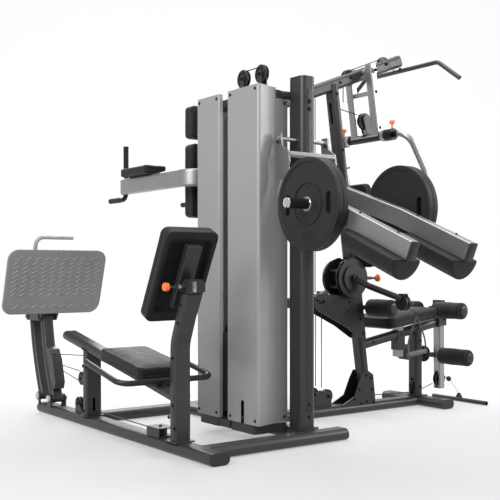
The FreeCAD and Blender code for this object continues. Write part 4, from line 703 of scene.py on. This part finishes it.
bolster("shoulder_bolster_near", -1, ("shoulder_pads",))
bolster("shoulder_bolster_far", 1)


# foam rollers
def roller(name, c, y0, y1, body, replaces=()):
    g = Mesh()
    L = (y1 - y0) / 1000
    r = 0.0545
    prof = [(0.0125, 0.000), (0.020, 0.0012), (0.034, 0.0012), (0.0355, 0.0), (0.043, 0.0004), (0.049, 0.0022), (0.0530, 0.0062), (r, 0.012)]
    k = 22
    for i in range(1, k):
        t = i / k
        sag = 0.0007 * math.sin(t * 9.0 + y0) - 0.0005 * math.cos(math.pi * 2 * t)
        prof.append((r + sag, 0.012 + (L - 0.024) * t))
    prof += [(r, L - 0.012), (0.0530, L - 0.0062), (0.049, L - 0.0022), (0.043, L - 0.0004), (0.0355, L), (0.034, L - 0.0012), (0.020, L - 0.0012), (0.0125, L)]
    g.lathe(prof, axis_m(P(c[0], y0, c[1]), (0, 1, 0)), 56, closed=False)
    n = 56
    m = len(prof)
    g.f += [((m - 1) * n + i, (m - 1) * n + (i + 1) % n, (i + 1) % n, i) for i in range(n)]
    o = g.make(name, "foam", body, smooth=50)
    if replaces:
        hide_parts(*replaces)
    return o


def roller_cap(name, c, y, sg, body):
    g = Mesh()
    m = axis_m(P(c[0], y, c[1]), (0, sg, 0))
    g.lathe([(0.001, 0.0), (0.031, 0.0), (0.0325, 0.0012), (0.0325, 0.0025), (0.030, 0.0042), (0.018, 0.0050), (0.017, 0.0040), (0.011, 0.0040),
             (0.0105, 0.0058), (0.004, 0.0062), (0.001, 0.0062)], m, 40, closed=False)
    g.make(name, "plastic", body)


for nm, c, body, ys, rep in (("knee_roller", (1516.0, 630.0), "frame", ((197, 433), (573, 809)), "frame_rollers"),
                             ("thigh_roller", (925.0, 660.0), "frame", ((247, 443), (563, 759)), None),
                             ("ankle_roller", (1575.0, 322.0), "leg_extension", ((197, 433), (573, 809)), "leg_extension_rollers")):
    for i, (y0, y1) in enumerate(ys):
        roller("%s_%d" % (nm, i), c, y0, y1, body, (rep,) if rep and i == 0 else ())
    e = 6 if nm != "thigh_roller" else 4
    roller_cap(nm + "_cap_0", c, ys[0][0] - 6.2, -1, body)
    roller_cap(nm + "_cap_1", c, ys[1][1] + 6.2, 1, body)

# ---------------------------------------------------------------- foot plate
FPA = math.degrees(math.atan2(129, 399))
FPM = T(P(-712, 1539.5, 819.0)) @ RX(FPA)


def foot_plate():
    hx, hz, rc, th = 0.325, 0.210, 0.068, 0.014
    U, W = lines(26, 0.78, 8), lines(26, 0.72, 8)
    g = Mesh()

    def outl(u, v, inset):
        t = max(abs(u), abs(v), 1e-9)
        bx, by = hx * u / t, hz * v / t
        qx = max(-(hx - rc), min(hx - rc, bx))
        qy = max(-(hz - rc), min(hz - rc, by))
        d = Vector((bx - qx, by - qy))
        n = d.normalized()
        return Vector((qx, qy)) + n * (rc - inset)

    def bend(x, z):
        """Front face height: the lower strip folds away."""
        return 0.0 if z > -0.118 else (-0.118 - z) * 0.10
    layers = []
    prof = [(0.0035, 0.0), (0.0012, 0.0010), (0.0, 0.0035), (0.0, th - 0.0035), (0.0012, th - 0.001), (0.0035, th)]
    nu, nv = len(U), len(W)
    ring = [(i, 0) for i in range(nu)] + [(nu - 1, j) for j in range(1, nv)] + \
           [(i, nv - 1) for i in range(nu - 2, -1, -1)] + [(0, j) for j in range(nv - 2, 0, -1)]
    idx = {}
    vs, fs = [], []
    for side, (ins, y) in (("a", prof[0]), ("b", prof[-1])):
        for j, v in enumerate(W):
            for i, u in enumerate(U):
                t = max(abs(u), abs(v))
                q = outl(u, v, ins) * t
                idx[(side, i, j)] = len(vs)
                vs.append((q.x, y + bend(q.x, q.y) * (0.9 if side == "a" else 0.9), q.y))
        for j in range(nv - 1):
            for i in range(nu - 1):
                f = (idx[(side, i, j)], idx[(side, i + 1, j)], idx[(side, i + 1, j + 1)], idx[(side, i, j + 1)])
                fs.append(f if side == "a" else tuple(reversed(f)))
    prev = [idx[("a", i, j)] for i, j in ring]
    for ins, y in prof[1:-1]:
        cur = []
        for i, j in ring:
            q = outl(U[i], W[j], ins)
            cur.append(len(vs))
            vs.append((q.x, y + bend(q.x, q.y) * 0.9, q.y))
        for k in range(len(ring)):
            fs.append((prev[k], cur[k], cur[(k + 1) % len(ring)], prev[(k + 1) % len(ring)]))
        prev = cur
    last = [idx[("b", i, j)] for i, j in ring]
    for k in range(len(ring)):
        fs.append((prev[k], last[k], last[(k + 1) % len(ring)], prev[(k + 1) % len(ring)]))
    g.add(vs, fs, FPM)
    o = g.make("foot_plate_body", "grey", "lp_foot_carriage", smooth=30)
    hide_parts("footplate")
    # chevron tread: raised zigzag ribs
    r = Mesh()

    def rib(pts, w=0.0085, hgt=0.0022):
        for a, b in zip(pts, pts[1:]):
            a, b = Vector(a), Vector(b)
            d = (b - a).normalized()
            s = Vector((-d.y, d.x))
            vv = []
            for q in (a - d * 0.001, b + d * 0.001):
                for k, hh in ((-w / 2, -0.0004), (-w / 4, hgt), (w / 4, hgt), (w / 2, -0.0004)):
                    p = q + s * k
                    vv.append((p.x, -hh + bend(p.x, p.y) * 0.9, p.y))
            r.add(vv, [(0, 1, 5, 4), (1, 2, 6, 5), (2, 3, 7, 6), (0, 4, 7, 3), (0, 3, 2, 1), (4, 5, 6, 7)], FPM)
    per = 0.060
    for row in range(9):
        z0 = 0.150 - row * 0.0285
        half = 0.285 if row not in (0,) else 0.270
        pts = []
        x = -half
        k = 0
        while x <= half + 1e-6:
            pts.append((x, z0 + (0.011 if k % 2 else -0.011)))
            x += per / 2
            k += 1
        rib(pts)
    pts = []
    for k in range(18):
        pts.append((-0.255 + k * 0.030, -0.160 + (0.011 if k % 2 else -0.011)))
    rib(pts)
    r.make("foot_plate_tread", "grey", "lp_foot_carriage", smooth=20)


foot_plate()


# ---------------------------------------------------------------- fasteners
def hexr(r, a, z):
    return r


class Bolts(Mesh):
    def bolt(self, c, d, r=8.0, washer=True):
        m = axis_m(P(*c), d, random.uniform(0, 1))
        k = r / 1000
        w = 0.0015 if washer else 0.0
        prof = []
        if washer:
            prof += [(k * 1.45, -0.0002), (k * 1.45, w * 0.8), (k * 1.38, w)]
        prof += [(k, w), (k, w + k * 0.25), (k * 0.88, w + k * 0.48), (k * 0.62, w + k * 0.6)]
        self.lathe(prof + [(k * 0.50, w + k * 0.6), (k * 0.48, w + k * 0.15), (0.0002, w + k * 0.12)], m, 24, closed=False,
                   rad=lambda q, a, z: q if q > k * 0.51 else q / math.cos(((a % (math.pi / 3)) - math.pi / 6)))

    def nut(self, c, d, r=9.0):
        m = axis_m(P(*c), d, random.uniform(0, 1))
        k = r / 1000
        self.lathe([(k * 1.3, -0.0002), (k * 1.3, 0.0015), (k, 0.0016), (k, k * 0.9), (k * 0.86, k), (k * 0.5, k), (k * 0.5, k * 1.3), (0.0003, k * 1.35)],
                   m, 24, closed=False, rad=lambda q, a, z: q / math.cos((a % (math.pi / 3)) - math.pi / 6) * 0.94 if abs(q - k) < 1e-6 or abs(q - k * 0.86) < 1e-6 else q)


B = Bolts()
py = 15.0 - 62.0
for z in (1784, 1744):
    B.bolt((8, py - 0.3, z), (0, -1, 0), 9)
for z in (1604 - 80,):
    pass
for z in (86, 150):
    B.bolt((8, py - 0.3, z + 40), (0, -1, 0), 7)
# shroud screws
for y in (40, 262):
    for z in (120, 1832):
        B.bolt((-283.1, y, z), (-1, 0, 0), 6)
for y in (392, 562):
    for z in (120, 1832):
        B.bolt((-283.1, y, z), (-1, 0, 0), 6)
nx_, ny_ = 0.2281, -0.9736
for z in (120, 1780):
    B.bolt((-70 + nx_, 67.4 + ny_ * 1.2, z), (nx_, ny_, 0), 6)
# post feet
for x, y, w in ((8, 15, 1), (8, 503, 1)):
    for sx in (-1, 1):
        for sy in (-1, 1):
            B.bolt((x + 48 * sx, y + 71 * sy, 66), (0, 0, 1), 4.2)
for sx in (-1, 1):
    for sy in (-1, 1):
        B.bolt((46 * sx, 700 + 59 * sy, 66), (0, 0, 1), 3.6)
        B.bolt((1428 + 26 * sx, 503 + 50 * sy, 66), (0, 0, 1), 4)
# column gussets
for sg in (-1, 1):
    yy = ROW + sg * 52.1
    for x, z in ((962, 60), (955, 140), (940, 215), (900, 235), (842, 150), (800, 90), (905, 70), (860, 60)):
        B.bolt((x, yy, z), (0, sg, 0), 7.5)
    for x, z in ((878, 500), (850, 590), (838, 640), (500, 715), (520, 700), (740, 640), (760, 700)):
        B.bolt((x, yy, z), (0, sg, 0), 7.5)
    yd = ROW + sg * 79.4
    for k in range(10):
        a = math.radians(36 * k + 10)
        if k in (4,):
            continue
        B.bolt((765 + 103 * math.cos(a), ROW + sg * 73.2, 845 + 103 * math.sin(a)), (0, sg, 0), 4.0, washer=False)
# column: hook, stacked bolts, slot frame
for z in (1300, 1250, 1640, 1980):
    for sg in (-1, 1):
        B.bolt((col_x(z), ROW + sg * 47.1, z), (0, sg, 0), 7)
# boom
for x in (60, 110, 640, 700, 990):
    z = 1784 + 478 / 1226.0 * x
    for sg in (-1, 1):
        B.bolt((x, ROW + sg * 30.1, z), (0, sg, 0), 7.5)
# seat tube and front post
for x in (985, 1235, 1398):
    z = 421 + 118 / 688.0 * (x - 900)
    for sg in (-1, 1):
        B.bolt((x, ROW + sg * 30.1, z), (0, sg, 0), 6.5)
B.bolt((1398, ROW - 46.2, 430), (0, -1, 0), 7)
# leg press
for y in (50, 100):
    B.bolt((XC - 48.2, y, 130 + (y - 50)), (-1, 0, 0), 7)
for y, z in ((1012, 440), (1048, 446), (1012, 340), (1048, 346)):
    B.bolt((XC - 50.2, y, z), (-1, 0, 0), 6.5)
B.bolt((XC - 50.2, 1030, 90), (-1, 0, 0), 6)
for y, z in ((-8, 730), (20, 640), (66, 470), (66, 240)):
    B.bolt((XC - 48.2, y, z), (-1, 0, 0), 6.5)
# knee raise post
for z in (1434, 1500, 1366):
    B.bolt((-47.2, 700, z), (-1, 0, 0), 7)
B.make("bolts_frame", "bolt", "frame")

S = Bolts()
for sx in (-1, 1):
    for y in (-120, -300):
        z = beam_line(y) - 46
        S.bolt((sx * 214.3, y, z), (sx, 0, 0), 8)
    for y, z in ((-60, 1290), (-90, 1262), (-8, 1560)):
        S.bolt((sx * 174.4 if sx < 0 else 153.6, y, z), (-1, 0, 0), 6)
    S.bolt((sx * 189, -640, beam_line(-640) + 0.5), (0, -0.37, 0.93), 5)
    S.bolt((sx * 189, -880, beam_line(-880) + 0.5), (0, -0.37, 0.93), 5)
S.make("bolts_lever", "bolt", "squat_lever")

PR = Bolts()
lean = (955.0 - 895.0) / (1750.0 - 2141.0)
for sg in (-1, 1):
    for z in (2010, 1790):
        PR.bolt((895 + lean * (z - 2141), ROW + sg * 124.2, z), (0, sg, 0), 7)
    PR.nut((895, ROW + sg * 138.2, 2141), (0, sg, 0), 10)
PR.make("bolts_press", "bolt", "press_arm")

# bright pivot ends of the leg press linkage and the sleeves
E = Mesh()
for y in (1520, 1690):
    for sx in (-1, 1):
        E.lathe([(0.0205, -0.001), (0.0205, 0.0015), (0.0185, 0.003), (0.012, 0.0042), (0.0003, 0.0046)], axis_m(P(XC + sx * 60, y, 102), (sx, 0, 0)), 32, closed=False)
E.make("pivot_caps", "steel", "frame")
E = Mesh()
for sx, xe in ((-1, -406.0), (1, 494.0)):
    E.lathe([(0.0252, -0.004), (0.0258, 0.0), (0.0252, 0.0025), (0.022, 0.0042), (0.010, 0.0050), (0.0003, 0.0052)],
            axis_m(P(xe, -374, 1212), (sx, 0, 0)), 40, closed=False)
E.make("sleeve_end_caps", "steel", "squat_lever")
for nm, sx, x0, body in (("discs_near", -1, -284.9, "discs_near"), ("discs_far", 1, 383.6, "discs_far")):
    E = Mesh()
    for rr, w, off in ((0.0335, 0.0016, 0.0), (0.0270, 0.0022, 0.0)):
        ringp = [(rr - w, 0.0), (rr - w, 0.0022), (rr - w * 0.5, 0.0030), (rr + w * 0.5, 0.0030), (rr + w, 0.0022), (rr + w, 0.0)]
        E.lathe(ringp, axis_m(P(x0, -374, 1212), (sx, 0, 0)), 48, closed=False)
    E.make("bore_ring_" + nm, "steel", body)
    # raised rings and numbers on the disc face
    g = Mesh()
    xf = -284.9 if sx < 0 else 383.4
    for rr, w in ((0.1005, 0.0016), (0.2035, 0.0012)):
        g.lathe([(rr - w, -0.003), (rr - w, 0.0), (rr, 0.0008), (rr + w, 0.0), (rr + w, -0.003)], axis_m(P(xf, -374, 1212), (sx, 0, 0)), 96, closed=False)
    for k in range(6):
        a = math.radians(60 * k + 90)
        c = P(xf - sx * 0.6, -374 + 82 * math.cos(a), 1212 + 82 * math.sin(a))
        g.lathe([(0.004, -0.001), (0.0036, 0.0006), (0.0003, 0.0009)], axis_m(c, (sx, 0, 0)), 16, closed=False)
    g.make("disc_rings_" + nm, "rubber", body, smooth=50)
    # near-black plates set at mid-depth in the disc slots: painted shade, so that the slots read black
    g = Mesh()
    for q in (-150, 150):
        xm = (-262.0 if sx < 0 else 355.0)
        g.slab((-0.0025, -0.0172, -0.0522), (0.0025, 0.0172, 0.0522), T(P(xm, -374 + q, 1212)), 0.002)
    g.make("slot_shade_plates_" + nm, "mark_and_slot_shade", body)
    cu = bpy.data.curves.new("number_" + nm, "FONT")
    cu.body = "20"
    cu.size = 0.076
    cu.extrude = 0.0014
    cu.bevel_depth = 0.0004
    cu.align_x = "CENTER"
    cu.align_y = "CENTER"
    tx = bpy.data.objects.new("number_tmp_" + nm, cu)
    bpy.context.scene.collection.objects.link(tx)
    dg = bpy.context.evaluated_depsgraph_get()
    me = bpy.data.meshes.new_from_object(tx.evaluated_get(dg))
    bpy.data.objects.remove(tx)
    for q, zz in ((0, -150),):
        m2 = me.copy()
        up = Vector((0, 0, 1)) if q == 0 else Vector((0, 0, -1))
        up = -up if q == 0 else up
        nrm = Vector((sx, 0, 0))
        side = up.cross(nrm)
        if q == 1:
            up = Vector((0, 0, 1))
            side = up.cross(nrm)
        m2.transform(T(P(xf - sx * 4.0, -374, 1212 + zz)) @ Matrix((side, up, nrm)).transposed().to_4x4())
        o = bpy.data.objects.new("number_%s_%d" % (nm, q), m2)
        bpy.context.scene.collection.objects.link(o)
        m2.materials.clear()
        m2.materials.append(M["mark_and_slot_shade"])
        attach(o, body)


# ---------------------------------------------------------------- wheels
def wheel_face(name, c, axis, r, half, body, mat="plastic"):
    """Rim, ribs and hub on both faces of a cable wheel."""
    g = Mesh()
    d = {"x": Vector((1, 0, 0)), "y": Vector((0, 1, 0))}[axis]
    for sg in (-1, 1):
        m = axis_m(P(*c) + d * sg * half / 1000, d * sg)
        k = r / 1000
        for q in range(5):
            a = 2 * math.pi * q / 5
            mm = m @ Matrix.Rotation(a, 4, "Z")
            g.slab((k * 0.30, -0.0028, -0.0039), (k * 0.86, 0.0028, -0.0002), mm, 0.0008)
        g.lathe([(k * 0.83, -0.003), (k * 0.83, 0.0003), (k * 0.90, 0.0009), (k * 0.985, 0.0003), (k * 0.985, -0.002)], m, 48, closed=False)
        g.lathe([(k * 0.36, -0.001), (k * 0.36, 0.0006), (k * 0.30, 0.0012), (k * 0.24, 0.0012)], m, 32, closed=False)
    g.make(name, mat, body)
    b = Bolts()
    return b


wheels = [("wheel_top_near", (-130, 182, 1950), "x", 50, 11, "top_pulley_a"), ("wheel_top_far", (-130, 346, 1950), "x", 50, 11, "top_pulley_b")]
bz = lambda x: 1784.0 + 478 / 1226.0 * x
wheels += [("wheel_boom_rear", (790, ROW, bz(790) + 8), "y", 50, 11, "frame"), ("wheel_boom_front", (1100, ROW, bz(1100) + 12), "y", 50, 11, "frame"),
           ("wheel_low_a", (612, ROW, 122), "y", 42, 11, "frame"), ("wheel_low_b", (498, ROW, 142), "y", 42, 11, "frame"),
           ("wheel_front_low", (1398, ROW, 124), "y", 49, 11, "frame"), ("wheel_mid", (545, ROW, 706), "y", 46, 11, "frame"),
           ("wheel_lp_a", (XC, 1150, 262), "x", 40, 11, "frame"), ("wheel_lp_b", (XC, 1190, 110), "x", 40, 11, "frame"),
           ("wheel_press", (930, ROW, 1842), "y", 52, 11, "press_arm"), ("wheel_leg", (1631, ROW, 156), "y", 49, 11, "leg_extension"),
           ("wheel_arm_near", (892, ROW - 376, 700), "x", 43, 10, "cable_arm_a"), ("wheel_arm_far", (892, ROW + 376, 700), "x", 43, 10, "cable_arm_b")]
for w in wheels:
    wheel_face(*w)
AX = Bolts()
for c in ((790, bz(790) + 8), (1100, bz(1100) + 12)):
    for sg in (-1, 1):
        AX.nut((c[0], ROW + sg * 35, c[1]), (0, sg, 0), 8)
for x, z in ((612, 122), (498, 142)):
    for sg in (-1, 1):
        AX.nut((x, ROW + sg * 24, z), (0, sg, 0), 7.5)
for sg in (-1, 1):
    AX.nut((1398, ROW + sg * 46, 124), (0, sg, 0), 8)
    AX.nut((545, ROW + sg * 52, 706), (0, sg, 0), 9)
    AX.nut((1628, ROW + sg * 48, 566), (0, sg, 0), 9)
    AX.nut((765, ROW + sg * 83, 845), (0, sg, 0), 10) if False else None
for z in (1950,):
    for y in (182, 346):
        for sx in (-1, 1):
            AX.nut((-130 + sx * 20.5, y, z), (sx, 0, 0), 7.5)
AX.make("axle_nuts", "bolt", "frame")
for q, sg in (("a", -1), ("b", 1)):
    A2 = Bolts()
    A2.nut((765, ROW + sg * 108.5, 845), (0, sg, 0), 10)
    A2.make("arm_nut_" + q, "bolt", "cable_arm_" + q)

# ---------------------------------------------------------------- orange pull knob by the column
g = Mesh()
kc = axis_m(P(872, ROW - 20, 846), (1, 0, 0))
g.lathe([(0.012, 0.0), (0.014, 0.002), (0.014, 0.040), (0.010, 0.044), (0.0105, 0.046), (0.0105, 0.100), (0.0075, 0.103), (0.0075, 0.136)], kc, 28, closed=False)
g.make("column_pin", "plastic", "frame")
kc = axis_m(P(872 + 108, ROW - 20, 846), (1, 0, 0))
g = Mesh()
g.lathe([(0.0080, 0.024), (0.011, 0.026), (0.0135, 0.034), (0.022, 0.040), (0.0245, 0.047), (0.0235, 0.054), (0.0165, 0.0595), (0.0003, 0.0615)], kc, 40, closed=False)
g.make("column_knob", "orange", "frame")
# ribbed bodies on the press knobs are part of the CAD; the back rest pin gets a bright ferrule
g = Mesh()
g.lathe([(0.0115, 0.0), (0.0125, 0.002), (0.0125, 0.009), (0.0105, 0.012), (0.009, 0.018)], axis_m(P(XC - 61, -30, 818), (-1, 0, 0)), 6, closed=False)
g.make("back_pin_ferrule", "zinc", "frame")


# ---------------------------------------------------------------- hand grip on the near cable arm
def grip(q, sg):
    body = "cable_arm_" + q
    y = ROW + sg * 400
    x = 982
    g = Mesh()
    n = 26
    # stop ball, swivel ring and snap hook under the wheel
    prof = [(0.013 * math.sin(math.pi * i / 12), -0.013 * math.cos(math.pi * i / 12)) for i in range(1, 12)]
    g.lathe(prof, axis_m(P(922, ROW + sg * 384, 676), (0.5, 0, -1)), 24, closed=True)
    g.make("grip_stop_" + q, "plastic", body)
    g = Mesh()
    ring = [P(x, y + 12 * math.cos(a * math.pi / 10), 630 + 12 * math.sin(a * math.pi / 10)) for a in range(21)]
    g.sweep(ring, 0.0030, 10, caps=False)
    g.sweep([P(924, ROW + sg * 385, 668), P(940, ROW + sg * 390, 659), P(962, ROW + sg * 396, 650), P(x, y, 641)], 0.0026, 10)
    g.make("grip_ring_" + q, "plastic", body)
    s = Mesh()
    for k in (-1, 1):
        pts = []
        for i in range(n + 1):
            t = i / n
            w = 4 + 70 * math.sin(min(1.0, t * 1.05) * math.pi / 2) ** 1.25 + 10 * math.sin(t * math.pi) * t
            z = 620 - (222 + (6 if k < 0 else -8)) * t
            pts.append(P(x + k * w, y, z))
        s.sweep(pts, 0.0080, 12, flat=0.6)
    s.make("grip_strap_" + q, "web", body)
    b = Mesh()
    c0, c1 = P(x - 80, y, 389), P(x + 80, y, 405)
    m = axis_m(c0, tuple((c1 - c0).normalized()))
    h = (c1 - c0).length
    b.lathe([(0.0130, 0.0), (0.0152, 0.0015), (0.0152, 0.004), (0.0135, 0.006), (0.0135, 0.010), (0.0142, 0.014), (0.0150, h / 2), (0.0142, h - 0.014), (0.0135, h - 0.010),
             (0.0135, h - 0.006), (0.0152, h - 0.004), (0.0152, h - 0.0015), (0.0130, h)], m, 32, closed=True)
    b.make("grip_bar_" + q, "gripbar", body)


grip("a", -1)

# bright end discs on the two plate sleeves
slo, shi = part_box("plate_sleeves")
for nm, xe, sg in (("left", slo[0], -1), ("right", shi[0], 1)):
    g = Mesh()
    c = P(0, -374, 1212)
    c.x = xe
    g.lathe([(0.0236, -0.0008), (0.0228, 0.0002), (0.0080, 0.0004), (0.0068, -0.0004), (0.0003, -0.0004)], axis_m(c, (sg, 0, 0)), 44, closed=False)
    g.make("sleeve_cap_" + nm, "cap", "squat_lever")

# drum and cross members between the two index plates beside the column
g = Mesh()
g.lathe([(0.020, -0.0465), (0.056, -0.0465), (0.058, -0.044), (0.058, 0.044), (0.056, 0.0465), (0.020, 0.0465)], axis_m(P(765, ROW, 845), (0, 1, 0)), 56, closed=True)
for a in (20, 95, 150, 215, 265, 330):
    c = math.radians(a)
    if -60 < a - 360 < 30 and False:
        continue
    g.lathe([(0.0085, -0.0525), (0.0085, 0.0525)], axis_m(P(765 + 92 * math.cos(c), ROW, 845 + 92 * math.sin(c)), (0, 1, 0)), 20)
g.make("index_drum", "plastic", "frame")
for sg in (-1, 1):
    g = Mesh()
    nn = 72
    vs, fs = [], []
    for k in range(nn):
        a = 2 * math.pi * k / nn
        for rr, yo in ((0.052, 0.0), (0.052, 0.008), (0.124 + 0.004 * (1 if math.sin(a * 9) > 0.4 else 0), 0.008), (0.124 + 0.004 * (1 if math.sin(a * 9) > 0.4 else 0), 0.0)):
            vs.append((rr * math.cos(a), yo * sg, rr * math.sin(a)))
    for k in range(nn):
        k2 = (k + 1) % nn
        for q in range(4):
            fs.append((k * 4 + q, k * 4 + (q + 1) % 4, k2 * 4 + (q + 1) % 4, k2 * 4 + q))
    g.add(vs, fs, T(P(765, ROW + sg * 53.5, 845)))
    g.make("index_plate_" + ("b" if sg > 0 else "a"), "black", "frame", smooth=30)
    g = Mesh()
    for k in range(14):
        a = 2 * math.pi * k / 14
        g.lathe([(0.0052, 0.0), (0.0052, 0.0004), (0.0003, 0.0005)], axis_m(P(765 + 108 * math.cos(a), ROW + sg * 61.6, 845 + 108 * math.sin(a)), (0, sg, 0)), 16, closed=False)
    g.make("index_holes_" + ("b" if sg > 0 else "a"), "hole", "frame")

# ball stop and chain between the low wheel and the low bar
g = Mesh()
ballc = P(1702, ROW - 24, 152)
prof = [(0.018 * math.sin(math.pi * i / 14), -0.018 * math.cos(math.pi * i / 14)) for i in range(1, 14)]
g.lathe(prof, axis_m(ballc, (1, -0.6, -0.6)), 28, closed=True)
g.make("cable_ball_stop", "plastic", "leg_extension")
g = Mesh()
g.sweep([P(1676, ROW - 5, 168), P(1690, ROW - 15, 160), P(1700, ROW - 23, 153)], 0.003, 10)
g.make("low_cable_end", "cable", "leg_extension")
ch = Mesh()
a, b = P(1706, ROW - 30, 146), P(1742, ROW - 80, 56)
nl = 11
dv = (b - a) / nl
dl = dv.normalized()
s1 = dl.orthogonal().normalized()
s2 = dl.cross(s1)
for k in range(nl):
    c = a + dv * (k + 0.5)
    s = s1 if k % 2 else s2
    pts = []
    for i in range(17):
        t = 2 * math.pi * i / 16
        pts.append(c + dl * (0.0068 * math.cos(t)) + s * (0.0040 * math.sin(t)))
    ch.sweep(pts, 0.0011, 6, caps=False)
co = ch.make("low_chain", "zinc", None)
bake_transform(co)
# low bar ends
g = Mesh()
for yy, sg in ((190, -1), (655, 1)):
    g.lathe([(0.0139, -0.004), (0.0139, -0.0004), (0.0125, 0.0), (0.0003, 0.0)], axis_m(P(1742, yy + sg * 0.0, 14), (0, sg, 0)), 28, closed=False)
g.make("low_bar_plugs", "plastic", "frame")

# foam hand grips on the dip handles
def sleeve(name, a, b, r, body, mat="foam", rings=9):
    a, b = P(*a), P(*b)
    d = b - a
    L = d.length
    prof = [(r - 0.0025, 0.0), (r, 0.0012), (r + 0.0006, 0.004)]
    for i in range(rings):
        z = 0.008 + (L - 0.016) * (i + 0.5) / rings
        w = (L - 0.016) / rings * 0.32
        prof += [(r + 0.0004, z - w), (r - 0.0004, z - w * 0.6), (r - 0.0004, z + w * 0.6), (r + 0.0004, z + w)]
    prof += [(r + 0.0006, L - 0.004), (r, L - 0.0012), (r - 0.0025, L)]
    g = Mesh()
    g.lathe(prof, axis_m(a, d), 32, closed=False)
    g.make(name, mat, body, smooth=50)


for nm, x in (("near", -262), ("far", 300)):
    sleeve("dip_grip_" + nm, (x, 1458, 1540), (x, 1458, 1692), 0.0168, "frame", rings=12)
    sleeve("dip_low_grip_" + nm, (x, 1530, 1352), (x, 1673, 1352), 0.0168, "frame", rings=12)

# post ribs: the pressed lines of the tube along its front face
g = Mesh()
for x in (-10, 26):
    g.slab((-0.0016, -0.0012, 0.0), (0.0016, 0.0004, 1.70), T(P(x, py - 0.1, 150)), 0.0004)
for y in (6, 24):
    pass
g.make("post_pressed_lines", "dark", "frame")
g = Mesh()
g.slab((-0.0162, -0.0004, 0.0), (0.0162, 0.0002, 1.70), T(P(8, py - 0.1, 150)), 0.0001)
g.make("post_recess", "plastic", "frame")

# ---------------------------------------------------------------- stage
me = bpy.data.meshes.new("floor")
N = 24
vs, fs = [], []
R0 = 14.0
prof = [(-R0, 0.0)] + [(R0 * 0.35 + 3.0 * math.sin(a * math.pi / 2 / N), 3.0 - 3.0 * math.cos(a * math.pi / 2 / N)) for a in range(N + 1)] + [(R0 * 0.35 + 3.0, 9.0)]
for d, z in prof:
    for s in (-14, 14):
        vs.append((s, d, z - 0.0015))
for i in range(len(prof) - 1):
    fs.append((2 * i, 2 * i + 1, 2 * i + 3, 2 * i + 2))
me.from_pydata(vs, [], fs)
fl = bpy.data.objects.new("studio_floor", me)
bpy.context.scene.collection.objects.link(fl)
fl.rotation_euler = (0, 0, math.radians(-35.9))
# the floor and backdrop glow though they are no lamp: this is painted light, with the emission rising from 0.36 at the
# front to 0.74 towards and up the curved wall
M["floor"] = material("studio_floor_paint_and_glow", "#8f8f90", rough=0.7, vary=0.006, grain=("fine", 3), bump=0.01, dist=0.001, spot=0.6, spec=0.25)
fb = M["floor"].node_tree.nodes["Principled BSDF"]
fb.inputs["Emission Color"].default_value = (1, 1, 1, 1)
nt = M["floor"].node_tree
tc = nt.nodes.new("ShaderNodeTexCoord")
sx = nt.nodes.new("ShaderNodeSeparateXYZ")
mr = nt.nodes.new("ShaderNodeMapRange")
mr.interpolation_type = "SMOOTHSTEP"
mr.inputs["From Min"].default_value = -1.5
mr.inputs["From Max"].default_value = 4.2
mr.inputs["To Min"].default_value = 0.36
mr.inputs["To Max"].default_value = 0.74
nt.links.new(tc.outputs["Object"], sx.inputs["Vector"])
nt.links.new(sx.outputs["Y"], mr.inputs["Value"])
nt.links.new(mr.outputs["Result"], fb.inputs["Emission Strength"])
me.materials.append(M["floor"])
for p in me.polygons:
    p.use_smooth = True

w = bpy.data.worlds.new("studio")
bpy.context.scene.world = w
w.use_nodes = True
bg = w.node_tree.nodes["Background"]
bg.inputs["Color"].default_value = (1.0, 1.0, 1.0, 1)
bg.inputs["Strength"].default_value = 0.66


def area(name, loc, target, size, size_y, power):
    l = bpy.data.lights.new(name, "AREA")
    l.shape = "RECTANGLE"
    l.size, l.size_y = size, size_y
    l.energy = power
    o = bpy.data.objects.new(name, l)
    bpy.context.scene.collection.objects.link(o)
    o.location = loc
    o.rotation_euler = (Vector(target) - Vector(loc)).to_track_quat("-Z", "Y").to_euler()
    return o


area("key_left", (-5.0, -2.2, 3.6), (-0.3, 0, 1.0), 2.6, 2.2, 230)
area("top_soft", (0.2, -0.2, 4.6), (0, 0, 0.8), 3.4, 3.4, 135)
area("right_rim", (3.6, -2.6, 2.6), (0.1, 0, 1.1), 1.6, 2.4, 110)
area("back_fill", (1.0, 4.2, 3.0), (0, 0.3, 0.9), 3.0, 2.0, 110)

cam = bpy.data.cameras.new("view")
cam.lens = 63.81
cam.sensor_width = 36
cam.shift_x = 0.018
cam.shift_y = 0.039
cam.clip_end = 60
co_ = bpy.data.objects.new("view", cam)
bpy.context.scene.collection.objects.link(co_)
co_.location = (-3.01 + OX, -3.61 + OY, 0.90)
co_.rotation_euler = (math.radians(90), 0, math.radians(-35.86))
bpy.context.scene.camera = co_
bpy.context.scene.view_settings.view_transform = "Standard"
bpy.context.scene.view_settings.look = "None"
bpy.context.scene.view_settings.exposure = 0.0
